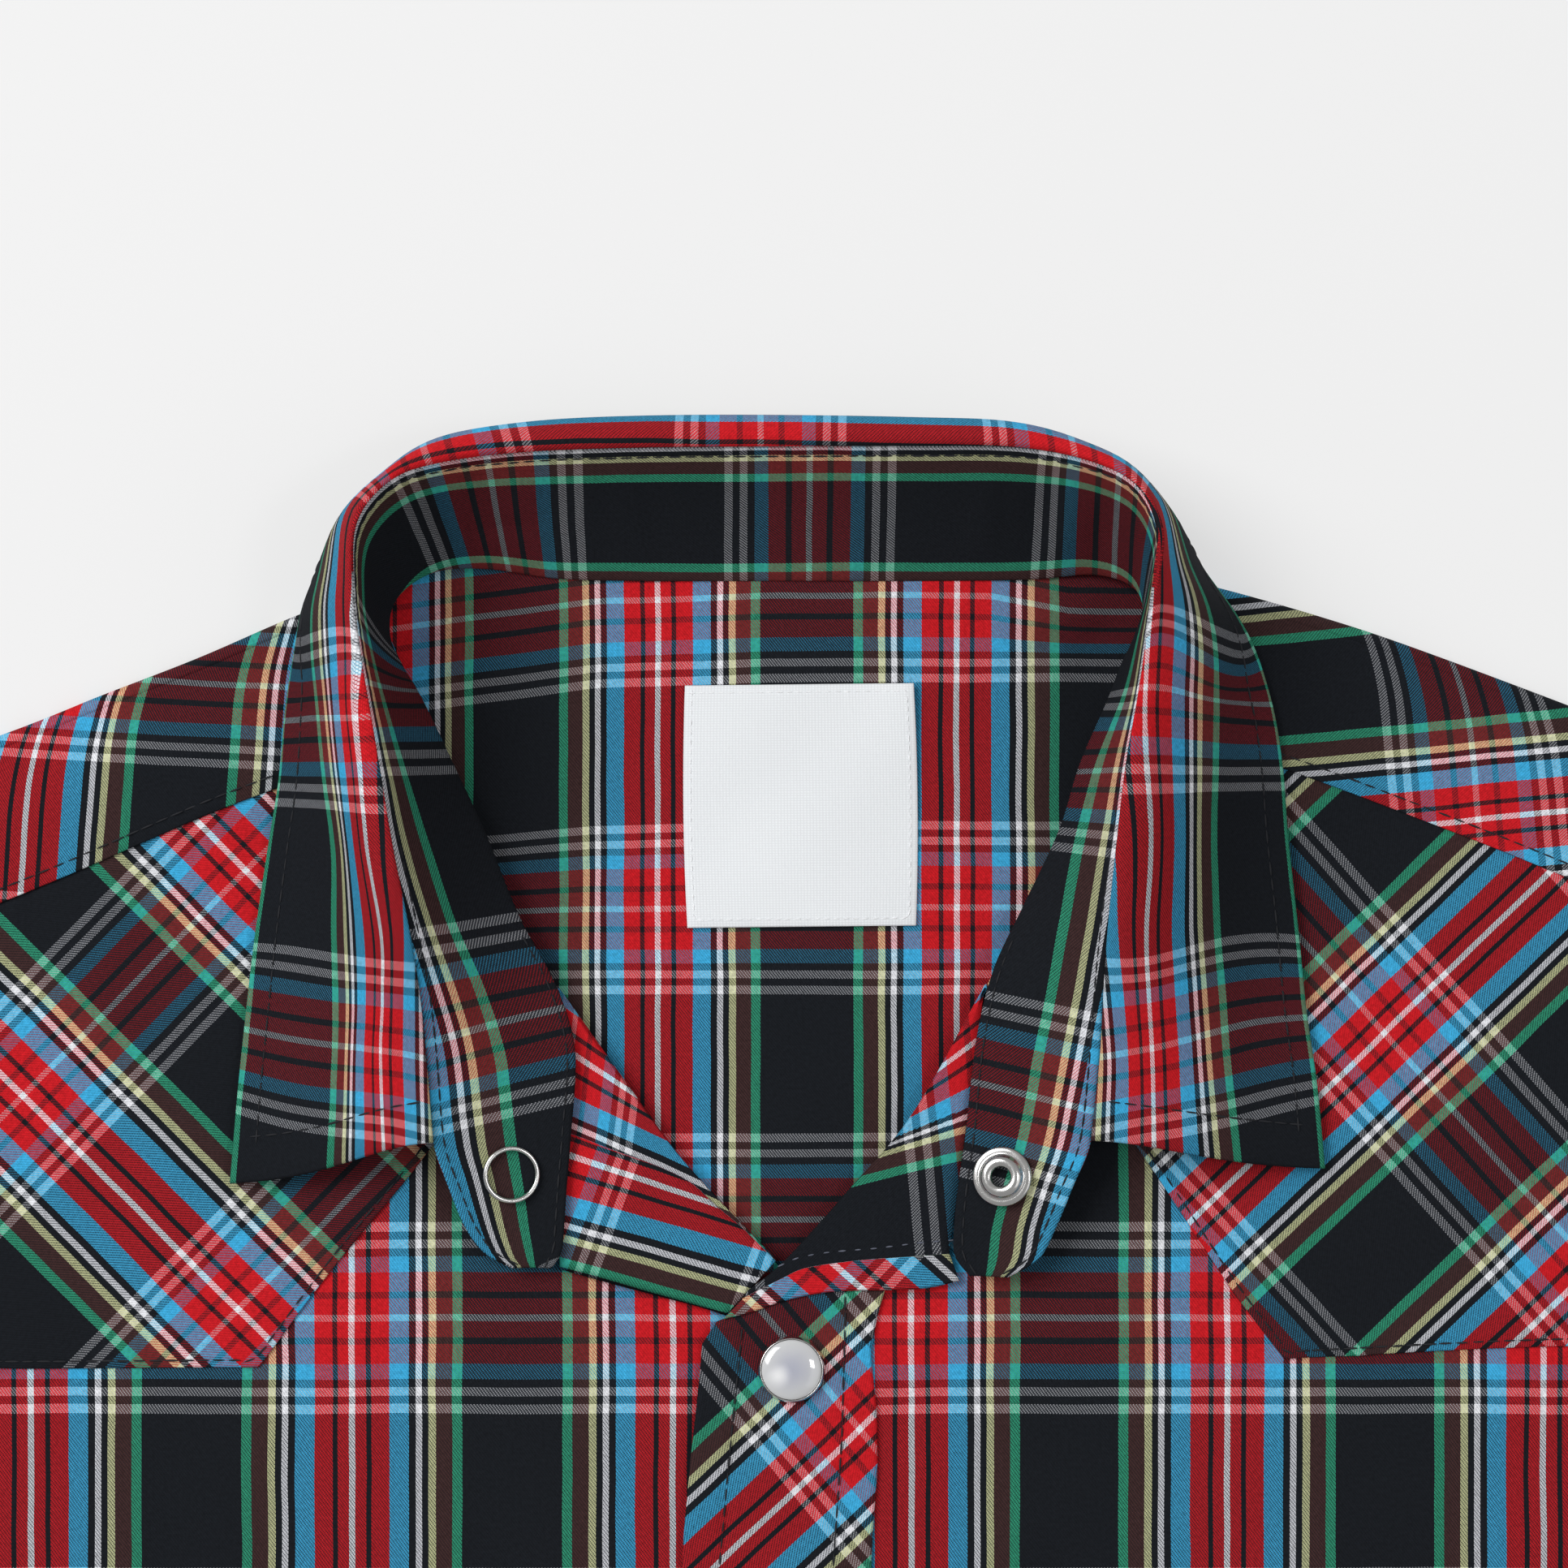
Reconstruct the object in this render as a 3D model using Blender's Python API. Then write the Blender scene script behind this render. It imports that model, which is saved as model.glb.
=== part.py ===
"""A western snap shirt laid on its back, buttoned up to the first snap, with its collar open.

Every cut piece of the garment is one closed cloth wall. All lengths are millimetres until a mesh is
made. X runs to the right as the shirt is looked down on, Y from the hem to the neck, Z up. The neck
seam at the centre back is (0, 0) while the pieces are worked out, and the whole shirt is moved at the
end so that its box stands on the origin.
"""
import math
from typing import NamedTuple

import bmesh
import bpy
import numpy as np

MM = 0.001

# Cloth
CLOTH = 1.2           # a panel's wall
BAND_CLOTH = 1.5      # collar stand and cuffs, two layers round an interlining
GAP = 0.3             # between neighbours
LAYER = CLOTH + GAP   # one panel lying on another
AIR = 0.9             # how far the fronts lie above the back where nothing presses them

# The body, as it lies
SIDE_X = 260.0        # half of the chest
ARMPIT_Y = -272.0
WAIST_X = 255.0
WAIST_Y = -450.0
HEM_X = 262.0
SIDE_HEM_Y = -668.0   # where the shirt tails begin
BACK_TAIL_Y = -735.0
FRONT_TAIL_Y = -722.0
YOKE_SIDE_X = 204.3   # back yoke seam at the armhole
YOKE_SIDE_Y = -135.0
YOKE_POINT_Y = -175.0  # and at its point on the centre back
NOSE_Z = 4.7          # height of the fold along the shoulder
NECK_LIFT = 2.0       # how far the fronts rise beside the neck

# The armhole seam on the +X side, from the shoulder to the armpit
ARMHOLE = (
    (222, -55.5), (214, -84), (207, -115), (204.5, -150), (208, -190), (220, -230), (238, -256), (SIDE_X, ARMPIT_Y)
)
SLEEVE_GAP = 0.5      # from the seam to the sleeve
BODY_INSET = 0.7      # from the sleeve's side of that seam

# The front edges
PLACKET_LEFT_X = -15.5
PLACKET_RIGHT_X = 17.5
PLACKET_TOP_LEFT = (-11.0, -130.6)
PLACKET_TOP_RIGHT = (19.0, -125.2)
UNDERLAP_X = 15.0     # how far the right front runs under the placket
RAMP_X = 48.0         # where the left front starts to climb over the right one

# Snaps
SNAP_X = 2.9
SNAP_TOP_Y = -137.5
SNAP_STEP = 84.0
SNAP_COUNT = 7
SNAP_RADIUS = 5.85
SNAP_RIM_WIDTH = 0.5
SNAP_SIDES = 12

# Label
LABEL_X = 4.7
LABEL_Y = -38.9
LABEL_WIDTH = 40.4
LABEL_HEIGHT = 42.6
LABEL_CLOTH = 1.0

# Sleeves
SLEEVE_LENGTH = 550.0  # without the cuff
SLEEVE_SLOPE = math.radians(60.0)
CUFF_WIDTH = 116.0
CUFF_DEPTH = 62.0
SLEEVE_EDGE = 2.0      # how far the folded edge takes to turn
SLEEVE_AIR = 1.6

# How finely each piece is divided
FRONT_COLUMNS = 10
FRONT_ROWS = 12      # below the armpit
SLEEVE_RINGS = 12
LEAF_ACROSS = 8


class Side(NamedTuple):
    """What differs between the two halves of the shirt. sign is -1 on the viewer's left."""

    name: str
    sign: int
    shoulder: tuple     # the fold along the shoulder, from the neck to the sleeve
    seam: tuple         # the front shoulder seam, from the neck to the sleeve
    neck_back: tuple    # the neck seam from the centre back to the shoulder
    opening: tuple      # the front's inner edge from the placket up to the shoulder seam
    yoke_edge: tuple    # the front yoke's lower edge, from the neck to the armhole
    facing: tuple       # the turned-out facing: fold edge, then free edge, both from the neck down


class CollarRow(NamedTuple):
    """One section through the collar, from the neck seam over the roll to the leaf's edge."""

    neck_x: float
    neck_y: float
    neck_z: float
    roll_x: float
    roll_y: float
    roll_z: float
    edge_x: float
    edge_y: float
    edge_z: float
    tuck: float         # 1 where the leaf is tucked under the stand, 0 where it lies on the front


class TabRow(NamedTuple):
    """One section through the end of the collar stand, beyond the leaf."""

    neck_x: float
    neck_y: float
    neck_z: float
    roll_x: float
    roll_y: float
    roll_z: float


class Fold(NamedTuple):
    """A soft ridge in the fronts, from one end to the other."""

    x0: float
    y0: float
    x1: float
    y1: float
    half_width: float
    height: float


WEARERS_RIGHT = Side(
    name="right",
    sign=-1,
    shoulder=((-70, -1.6), (-82.6, -5), (-101.4, -13), (-118.4, -19.6), (-136.4, -26.7), (-180, -42), (-219, -54)),
    seam=((-59.5, -25.4), (-95.4, -38.1), (-136.4, -55.4), (-212.2, -84)),
    neck_back=((-0.15, 0), (-38, 0.4), (-52, 2.0), (-60, 1.0), (-66, -3.0), (-70, -7.5)),
    opening=((UNDERLAP_X, -136), (11, -128), (0.1, -117.9), (-14.9, -102), (-24, -90.1), (-37.7, -70.6),
             (-44.4, -58.3), (-51.5, -42.5), (-59.8, -26)),
    yoke_edge=((-42.5, -72), (-59.9, -98.4), (-76.6, -118.9), (-90.4, -137.3), (-136.4, -137.6), (-203.9, -137)),
    facing=(((-37.9, -71.2), (-24, -90.6), (-14.9, -102.5), (0.1, -118.4)),
            ((-38.5, -98), (-38.2, -110), (-37.7, -120.1), (-13.6, -126.6))),
)
WEARERS_LEFT = Side(
    name="left",
    sign=1,
    shoulder=((69, 1.2), (78, -0.7), (94.4, -5.3), (110.9, -10.7), (139.6, -21.4), (180, -37), (219, -53)),
    seam=((58.4, -21.5), (90, -31.9), (117.3, -42.1), (139.6, -51), (213, -81)),
    neck_back=((0.15, 0), (45, 0.1), (56, 0.8), (62, -1.0), (65.5, -4.5), (69, -6.5)),
    opening=((PLACKET_LEFT_X, -136), (-12.4, -131), (-1.5, -121.1), (12.9, -105.9), (24.1, -92.6), (36.6, -70),
             (43.3, -56.1), (50.3, -43), (58.7, -22.2)),
    yoke_edge=((42.0, -69), (64.7, -100.6), (80, -123.6), (89.3, -135.9), (139.6, -133.6), (204.5, -133)),
    facing=(((36.8, -70.6), (24.1, -93.1), (12.9, -106.4), (-1.2, -121.6)),
            ((34.5, -96), (32.8, -110), (32.6, -122.3), (-9.0, -129.1))),
)

RIGHT_COLLAR = (
    CollarRow(-22, 0.3, 2.9, -23, 24.0, 18.5, -22, 5.0, 0, 1),
    CollarRow(-38, 0.7, 3.0, -43, 23.2, 19.3, -40, 5.5, 0, 1),
    CollarRow(-51, 2.4, 3.5, -58, 21.2, 22.0, -54, 8.0, 0, 1),
    CollarRow(-60, 1.6, 5.2, -66.5, 16.6, 26.5, -66, 10.5, 0.3, 0.9),
    CollarRow(-66, -3.0, 8.0, -71.2, 8.8, 31.5, -76.5, 7.5, 2.6, 0.6),
    CollarRow(-67, -9.4, 9.4, -71.9, -1.8, 34.5, -81.8, -2.0, 7.9, 0.3),
    CollarRow(-64.5, -15, 9.5, -70.8, -11.4, 35.0, -84.2, -12.0, 8.8, 0.1),
    CollarRow(-61.3, -20.3, 9.4, -69.2, -21.3, 34.0, -85.8, -22.0, 8.4, 0),
    CollarRow(-55.4, -32.7, 8.7, -67.4, -33.0, 31.5, -87.0, -34.5, 8.0, 0),
    CollarRow(-50.3, -43.7, 8.1, -65.5, -45.6, 28.5, -89.0, -47.0, 7.7, 0),
    CollarRow(-44.4, -58.3, 7.8, -62.9, -60.0, 24.5, -91.2, -62.0, 7.7, 0),
    CollarRow(-37.9, -70.7, 7.8, -61.3, -71.8, 19.5, -92.8, -76.0, 7.7, 0),
    CollarRow(-34.8, -82.0, 7.9, -60.4, -82.8, 16.0, -94.1, -88.5, 7.7, 0),
    CollarRow(-35.6, -96.5, 8.0, -59.3, -97.6, 13.5, -95.5, -105.0, 7.7, 0),
)
LEFT_COLLAR = (
    CollarRow(24, 0.3, 2.9, 24, 24.0, 18.5, 24, 5.0, 0, 1),
    CollarRow(44, 0.5, 2.9, 42, 23.0, 19.5, 43, 5.5, 0, 1),
    CollarRow(56, 1.3, 3.6, 54, 20.2, 22.5, 55, 7.5, 0, 1),
    CollarRow(62.5, -0.8, 5.6, 61, 15.2, 26.5, 64, 9.5, 0.3, 0.9),
    CollarRow(64.3, -5.0, 8.4, 64.6, 8.0, 31.5, 71.8, 8.6, 2.4, 0.6),
    CollarRow(62.9, -9.5, 9.4, 64.9, 0.8, 34.5, 77.6, 1.6, 7.8, 0.3),
    CollarRow(60.6, -13.8, 9.5, 63.6, -8.2, 35.0, 83.0, -9.0, 8.8, 0.1),
    CollarRow(57.9, -20.5, 9.3, 61.9, -20.2, 34.5, 87.0, -20.5, 8.5, 0),
    CollarRow(53.0, -31.8, 8.6, 60.0, -31.6, 32.5, 89.0, -32.0, 8.0, 0),
    CollarRow(49.5, -43.0, 8.1, 58.6, -44.3, 30.5, 90.0, -44.5, 7.7, 0),
    CollarRow(43.4, -56.0, 7.8, 57.2, -59.5, 26.5, 91.8, -61.0, 7.7, 0),
    CollarRow(38.0, -67.5, 8.3, 56.6, -71.5, 22.0, 93.2, -75.0, 7.7, 0),
    CollarRow(35.0, -80.0, 8.7, 56.2, -82.8, 18.0, 95.0, -87.5, 7.7, 0),
    CollarRow(33.2, -96.5, 8.9, 54.8, -97.2, 15.0, 96.4, -102.4, 7.7, 0),
)
CENTRE_BACK = CollarRow(0, 0.3, 2.9, 0, 24.3, 18.5, 0, 5.0, 0, 1)
RIGHT_TAB = (
    TabRow(-36.3, -105.0, 8.0, -56.9, -105.0, 12.0),
    TabRow(-36.8, -112.3, 7.9, -54.0, -112.3, 10.8),
    TabRow(-37.3, -117.0, 7.9, -50.5, -117.0, 10.0),
    TabRow(-39.0, -119.9, 7.9, -45.5, -119.5, 9.2),
)
LEFT_TAB = (
    TabRow(32.0, -105.0, 8.9, 51.9, -105.0, 13.0),
    TabRow(31.3, -112.3, 8.9, 49.0, -112.3, 11.6),
    TabRow(31.4, -117.5, 8.9, 46.0, -118.0, 10.6),
    TabRow(34.0, -121.1, 8.9, 40.5, -121.3, 9.6),
)

BODY_FOLDS = (
    Fold(-235, -305, -125, -430, 17, 2.2),
    Fold(238, -330, 135, -470, 17, 2.0),
    Fold(-62, -330, -96, -640, 21, 2.0),
    Fold(86, -300, 121, -600, 22, 2.0),
    Fold(-190, -520, -152, -690, 17, 1.8),
    Fold(196, -500, 214, -640, 17, 1.8),
)

CLOTH_RED = (0.28, 0.02, 0.03)
CLOTH_DARK = (0.012, 0.014, 0.018)
LABEL_WHITE = (0.80, 0.82, 0.84)
PEARL_WHITE = (0.78, 0.78, 0.74)
SILVER = (0.75, 0.75, 0.74)


def smoothstep(low, high, value):
    """0 below low, 1 above high, and smooth between. low may be the larger."""
    t = min(1.0, max(0.0, (value - low) / (high - low)))
    return t * t * (3.0 - 2.0 * t)


def along(points, t):
    """The point a fraction t of the way along a polyline."""
    pts = np.asarray(points, dtype=float)
    steps = np.linalg.norm(np.diff(pts, axis=0), axis=1)
    reach = np.concatenate(([0.0], np.cumsum(steps)))
    return np.array([np.interp(t * reach[-1], reach, pts[:, k]) for k in range(pts.shape[1])])


def share_at(points, index):
    """How far along a polyline one of its points is, as a fraction."""
    steps = np.linalg.norm(np.diff(np.asarray(points, dtype=float), axis=0), axis=1)
    return float(steps[:index].sum() / steps.sum())


def ruled(start, end, rows, columns):
    """Grid of plan points: row r runs from a fraction of the start curve to the same of the end curve."""
    grid = []
    for t in rows:
        a = along(start, t)
        b = along(end, t)
        grid.append([a + (b - a) * s for s in columns])
    return grid


def ridge(fold, x, y):
    """Height of one soft ridge at a place."""
    start = np.array((fold.x0, fold.y0))
    run = np.array((fold.x1, fold.y1)) - start
    rel = np.array((x, y)) - start
    t = float(rel @ run / (run @ run))
    if not 0.0 < t < 1.0:
        return 0.0
    off = float(np.linalg.norm(rel - t * run))
    if off >= fold.half_width:
        return 0.0
    across = 0.5 + 0.5 * math.cos(math.pi * off / fold.half_width)
    return fold.height * across * math.sin(math.pi * t)


def neck_lift(x, y):
    """How far the upper layers rise beside the neck."""
    reach = 30.0
    away = math.hypot(abs(x) - 66.0, y + 9.0)
    return NECK_LIFT * (1.0 - smoothstep(0.0, reach, away))


def armhole(sign, inset=0.0):
    """The armhole seam from the shoulder down to the armpit. The body's panels end at an inset from it."""
    return tuple((sign * (x - inset), y) for x, y in ARMHOLE)


def armhole_x(y):
    """How far out the body's panels reach at a height beside the armhole."""
    hole = armhole(1, BODY_INSET)[::-1]
    return float(np.interp(y, [p[1] for p in hole], [p[0] for p in hole]))


def side_edge(sign, tail_y):
    """The side of the body from the tail up to the armpit and on up the armhole to the front shoulder seam."""
    below = ((sign * HEM_X, tail_y), (sign * WAIST_X, WAIST_Y), (sign * SIDE_X, ARMPIT_Y))
    return below + tuple(reversed(armhole(sign, BODY_INSET)[1:-1]))


def tail(x, centre_y):
    """The curved hem: its height at a distance from the centre."""
    t = min(1.0, abs(x) / HEM_X)
    return centre_y + (SIDE_HEM_Y - centre_y) * (0.5 - 0.5 * math.cos(math.pi * t)) ** 1.15


def front_under(x, y, climbs):
    """Underside of a front at a place. climbs is true for the front that laps over the other."""
    on_lining = smoothstep(-205.0, YOKE_POINT_Y, y)
    height = LAYER * (1.0 + on_lining)
    side = SIDE_X if y < ARMPIT_Y else 232.0
    height += AIR * smoothstep(side, side - 30.0, abs(x)) * (1.0 - on_lining)
    height += sum(ridge(fold, x, y) for fold in BODY_FOLDS)
    height += neck_lift(x, y)
    if climbs:
        height += LAYER * smoothstep(RAMP_X, PLACKET_RIGHT_X, x)
    return height


def grid_faces(rows, columns, start=0):
    """Quads of a grid of points numbered row by row."""
    faces = []
    for r in range(rows - 1):
        for c in range(columns - 1):
            a = start + r * columns + c
            faces.append((a, a + 1, a + columns + 1, a + columns))
    return faces


def close_wall(outer, inner, faces):
    """Vertices and faces of the closed wall between two copies of one sheet."""
    count = len(outer)
    directed = {(f[k], f[(k + 1) % len(f)]) for f in faces for k in range(len(f))}
    border = [(a, b) for a, b in directed if (b, a) not in directed]
    walls = list(faces)
    walls += [tuple(i + count for i in reversed(f)) for f in faces]
    walls += [(b, a, a + count, b + count) for a, b in sorted(border)]
    return list(outer) + list(inner), walls


def cloth_material(name, colour, roughness, metallic=0.0):
    """A plain finish for one piece."""
    material = bpy.data.materials.new(name)
    material.use_nodes = True
    shader = material.node_tree.nodes["Principled BSDF"]
    shader.inputs["Base Color"].default_value = (*colour, 1.0)
    shader.inputs["Roughness"].default_value = roughness
    shader.inputs["Metallic"].default_value = metallic
    return material


def add_piece(name, points, faces, colour, roughness=0.9, metallic=0.0, smooth=True):
    """Makes one named object from points in millimetres, with its faces turned outwards."""
    mesh = bpy.data.meshes.new(name)
    bm = bmesh.new()
    verts = [bm.verts.new(tuple(float(v) * MM for v in p)) for p in points]
    for face in faces:
        bm.faces.new([verts[i] for i in face])
    bmesh.ops.recalc_face_normals(bm, faces=bm.faces)
    bmesh.ops.triangulate(bm, faces=bm.faces)
    bm.to_mesh(mesh)
    bm.free()
    if smooth:
        mesh.shade_smooth()
        mesh.set_sharp_from_angle(angle=math.radians(40))
    piece = bpy.data.objects.new(name, mesh)
    mesh.materials.append(cloth_material(name + "_finish", colour, roughness, metallic))
    bpy.context.collection.objects.link(piece)
    return piece


def add_panel(name, grid, under, colour, thickness=CLOTH):
    """A flat panel: a grid of plan points, the height of its underside, and its thickness."""
    outer = []
    inner = []
    for row in grid:
        for x, y in row:
            z = under(x, y)
            inner.append((x, y, z))
            outer.append((x, y, z + thickness))
    faces = grid_faces(len(grid), len(grid[0]))
    return add_piece(name, *close_wall(outer, inner, faces), colour)


def linspace(low, high, count):
    """count numbers from low to high, as a list."""
    return [float(v) for v in np.linspace(low, high, count)]


def yoke_seam_y(x):
    """The lower edge of the back yoke: its pointed seam, then the armhole beyond the seam's end."""
    if abs(x) <= YOKE_SIDE_X:
        return YOKE_POINT_Y + (YOKE_SIDE_Y - YOKE_POINT_Y) * abs(x) / YOKE_SIDE_X
    hole = ((YOKE_SIDE_X, YOKE_SIDE_Y),) + tuple(reversed(armhole(1, BODY_INSET)[:3]))
    return float(np.interp(abs(x), [p[0] for p in hole], [p[1] for p in hole]))


def make_back():
    """The back below the yoke, flat on its underside."""
    columns = linspace(-1.0, 1.0, 21)
    top = [(YOKE_SIDE_X * u, yoke_seam_y(YOKE_SIDE_X * u) - GAP) for u in columns]
    edge = side_edge(1, SIDE_HEM_Y)[:-3]
    rows = []
    outline = edge + ((YOKE_SIDE_X, YOKE_SIDE_Y - GAP),)
    corners = [share_at(outline, k) for k in range(len(outline))]
    between = [c * corners[2] for c in linspace(0.0, 1.0, 12)[1:-1] if abs(c * corners[2] - corners[1]) > 0.02]
    for t in sorted(corners + between):
        x_edge, y_edge = along(outline, t)
        line = []
        for u, (x_top, y_top) in zip(columns, top):
            x = x_edge * u
            tail_y = tail(x, BACK_TAIL_Y)
            y_low = tail_y + (y_edge - SIDE_HEM_Y) * (y_top - tail_y) / (top[0][1] - SIDE_HEM_Y)
            line.append((x_top if t == 1.0 else x, y_low))
        rows.append(line)
    return add_panel("back", rows, lambda x, y: 0.0, CLOTH_DARK)


def make_back_yoke(side):
    """Half of the outer back yoke. It wraps over the shoulder to the front shoulder seam."""
    neck = side.neck_back[:-1]
    fold = side.shoulder
    neck_columns = [along(neck, t) for t in linspace(0.0, 1.0, 6)]
    fold_columns = [along(fold, t) for t in linspace(0.0, 1.0, 9)]
    seam_columns = [along(side.seam, t) for t in linspace(0.0, 1.0, 9)]
    nose_r = NOSE_Z / 2.0
    outer = []
    inner = []
    across = neck_columns + fold_columns
    flat_rows = linspace(0.0, 1.0, 6)
    for t in flat_rows:
        for k, (x, y_top) in enumerate(across):
            y_end = y_top if k < len(neck_columns) else y_top - nose_r
            y = yoke_seam_y(x) + (y_end - yoke_seam_y(x)) * t
            outer.append((x, y, 0.0))
            inner.append((x, y, CLOTH))
    faces = grid_faces(len(flat_rows), len(across))
    first = len(outer)
    count = len(fold_columns)
    turn = linspace(-90.0, 90.0, 6)[1:]
    for angle in turn:
        a = math.radians(angle)
        for x, y in fold_columns:
            lift = neck_lift(x, y) * (0.5 + 0.5 * math.sin(a))
            cy = y - nose_r
            outer.append((x, cy + nose_r * math.cos(a), nose_r + nose_r * math.sin(a) + lift))
            thin = nose_r - CLOTH
            inner.append((x, cy + thin * math.cos(a), nose_r + thin * math.sin(a) + lift))
    over = linspace(0.0, 1.0, 4)[1:]
    for t in over:
        for (x, y), (sx, sy) in zip(fold_columns, seam_columns):
            px = x + (sx - x) * t
            py = (y - nose_r) + (sy + GAP - (y - nose_r)) * t
            top = NOSE_Z + (3 * LAYER + CLOTH - NOSE_Z) * t + neck_lift(px, py)
            outer.append((px, py, top))
            inner.append((px, py, top - CLOTH))
    base = (len(flat_rows) - 1) * len(across) + len(neck_columns)
    for c in range(count - 1):
        faces.append((base + c, base + c + 1, first + c + 1, first + c))
    faces += grid_faces(len(turn) + len(over), count, first)
    return add_piece(side.name + "_back_yoke", *close_wall(outer, inner, faces), CLOTH_RED)


def make_yoke_lining():
    """The inner layer of the back yoke, which shows through the open neck."""
    left = WEARERS_RIGHT
    right = WEARERS_LEFT
    nose = NOSE_Z + GAP
    top = [(x, y - nose) for x, y in reversed(left.shoulder[1:])]
    top += [(x, y - 0.2) for x, y in reversed(left.neck_back[1:])]
    top += [(x, y - 0.2) for x, y in right.neck_back[1:]]
    top += [(x, y - nose) for x, y in right.shoulder[1:]]
    rows = []
    for t in linspace(0.0, 1.0, 7):
        line = []
        for x, y_top in top:
            low = yoke_seam_y(x)
            line.append((x, low + (y_top - low) * t))
        rows.append(line)
    return add_panel("yoke_lining", rows, lambda x, y: LAYER, CLOTH_RED)


def make_front(side):
    """One front, from the tail to the front shoulder seam, open in a V above the first snap."""
    climbs = side.sign > 0
    inner_x = side.opening[0][0]
    hem_share = 0.62
    outside = side_edge(side.sign, SIDE_HEM_Y)
    body = outside[:3]
    arm = outside[2:]
    corners = [hem_share + (1.0 - hem_share) * share_at(arm, k) for k in range(len(arm))]
    between = [(a + b) / 2.0 for a, b in zip(corners, corners[1:])]
    rows = linspace(0.0, hem_share, FRONT_ROWS)[:-1] + sorted(corners + between)
    inside = side.opening
    columns = linspace(0.0, 1.0, FRONT_COLUMNS)
    grid = []
    for t in rows:
        if t <= hem_share:
            s = t / hem_share
            a = along(body, s)
            y_in = FRONT_TAIL_Y + (inside[0][1] - 60.0 - FRONT_TAIL_Y) * s
            b = np.array((inner_x, y_in))
        else:
            s = (t - hem_share) / (1.0 - hem_share)
            a = along(arm, s)
            b = along(((inner_x, inside[0][1] - 60.0),) + inside, s)
        line = []
        for u in columns:
            x, y = a + (b - a) * u
            if t <= hem_share:
                fade = 1.0 - t / hem_share
                y += fade * (tail(x, FRONT_TAIL_Y) - (a[1] + (b[1] - a[1]) * u)) if t == 0.0 else 0.0
            line.append((x, y))
        grid.append(line)
    return add_panel(side.name + "_front", grid, lambda x, y: front_under(x, y, climbs), CLOTH_RED)


def make_front_yoke(side):
    """The pointed western yoke that lies on a front, from the shoulder seam down."""
    climbs = side.sign > 0
    corner = share_at(side.yoke_edge, 3)
    columns = linspace(0.0, corner, 6) + linspace(corner, 1.0, 6)[1:]
    rows = linspace(0.0, 1.0, 8)
    grid = []
    for t in rows:
        line = []
        for u in columns:
            top = along(side.seam, u)
            low = along(side.yoke_edge, u)
            x, y = top + (low - top) * t
            line.append((min(abs(x), armhole_x(y)) * side.sign, y))
        grid.append(line)
    return add_panel(
        side.name + "_front_yoke", grid, lambda x, y: front_under(x, y, climbs) + LAYER, CLOTH_DARK
    )


def make_facing(side):
    """The front's facing where the edge is turned out beside the V."""
    climbs = side.sign > 0
    fold, free = side.facing
    grid = ruled(fold, free, linspace(0.0, 1.0, 8), linspace(0.0, 1.0, 6))
    return add_panel(
        side.name + "_facing", grid, lambda x, y: front_under(x, y, climbs) + LAYER, CLOTH_RED
    )


def make_placket():
    """The bias strip down the left front that carries the snaps. Its top slants where the V opens."""
    low = tail(0.0, FRONT_TAIL_Y)
    left = ((PLACKET_LEFT_X, low), (PLACKET_LEFT_X, PLACKET_TOP_LEFT[1] - 18.0), PLACKET_TOP_LEFT)
    right = ((PLACKET_RIGHT_X, low), (PLACKET_RIGHT_X, PLACKET_TOP_RIGHT[1] - 18.0), PLACKET_TOP_RIGHT)
    split = share_at(left, 1)
    rows = linspace(0.0, split, 20) + [(1.0 + split) / 2.0, 1.0]
    grid = ruled(left, right, rows, linspace(0.0, 1.0, 4))
    return add_panel("placket", grid, lambda x, y: front_under(x, y, True) + LAYER, CLOTH_DARK)


def collar_rows():
    """Every section of the collar, from the right front round the back to the left front."""
    return tuple(reversed(RIGHT_COLLAR)) + (CENTRE_BACK,) + LEFT_COLLAR


def in_plane(row):
    """The neck point, the roll point and the outward direction of a section."""
    neck = np.array((row.neck_x, row.neck_y, row.neck_z), dtype=float)
    roll = np.array((row.roll_x, row.roll_y, row.roll_z), dtype=float)
    out = roll - neck
    out[2] = 0.0
    return neck, roll, out / np.linalg.norm(out)


def offset_profile(points, out, thickness):
    """Moves a section's points to the right of their path, in the plane of out and up."""
    moved = []
    for k, p in enumerate(points):
        before = points[max(0, k - 1)]
        after = points[min(len(points) - 1, k + 1)]
        run = after - before
        across = np.array((run @ out, run[2]))
        across /= np.linalg.norm(across)
        moved.append(p + thickness * (out * across[1] + np.array((0.0, 0.0, -across[0]))))
    return moved


def make_stand():
    """The collar stand with its two rounded tab ends, leaning out from the neck seam."""
    sections = tuple(reversed(RIGHT_TAB)) + collar_rows() + LEFT_TAB
    outer = []
    inner = []
    for row in sections:
        neck, roll, out = in_plane(row)
        points = [neck + (roll - neck) * t for t in (0.0, 0.5, 1.0)]
        outer += points
        inner += offset_profile(points, out, BAND_CLOTH)
    faces = grid_faces(len(sections), 3)
    return add_piece("collar_stand", *close_wall(outer, inner, faces), CLOTH_DARK)


def leaf_profile(row):
    """The leaf's outer face from the top of the stand over the roll to its edge."""
    neck, roll, out = in_plane(row)
    up = np.array((0.0, 0.0, 1.0))
    start = roll + up * LAYER
    end = np.array((row.edge_x, row.edge_y, row.edge_z), dtype=float)
    reach = float(np.linalg.norm((end - start)[:2]))
    k = row.tuck
    first = start + out * (8.0 * k + 0.32 * reach * (1 - k)) + up * (4.0 * k + 1.5 * (1 - k))
    last = end + out * (26.0 * k - 0.42 * reach * (1 - k)) + up * 5.0 * (1 - k)
    points = []
    for t in linspace(0.0, 1.0, LEAF_ACROSS + 1):
        s = 1.0 - t
        points.append(s ** 3 * start + 3 * s * s * t * first + 3 * s * t * t * last + t ** 3 * end)
    return points, out


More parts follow.
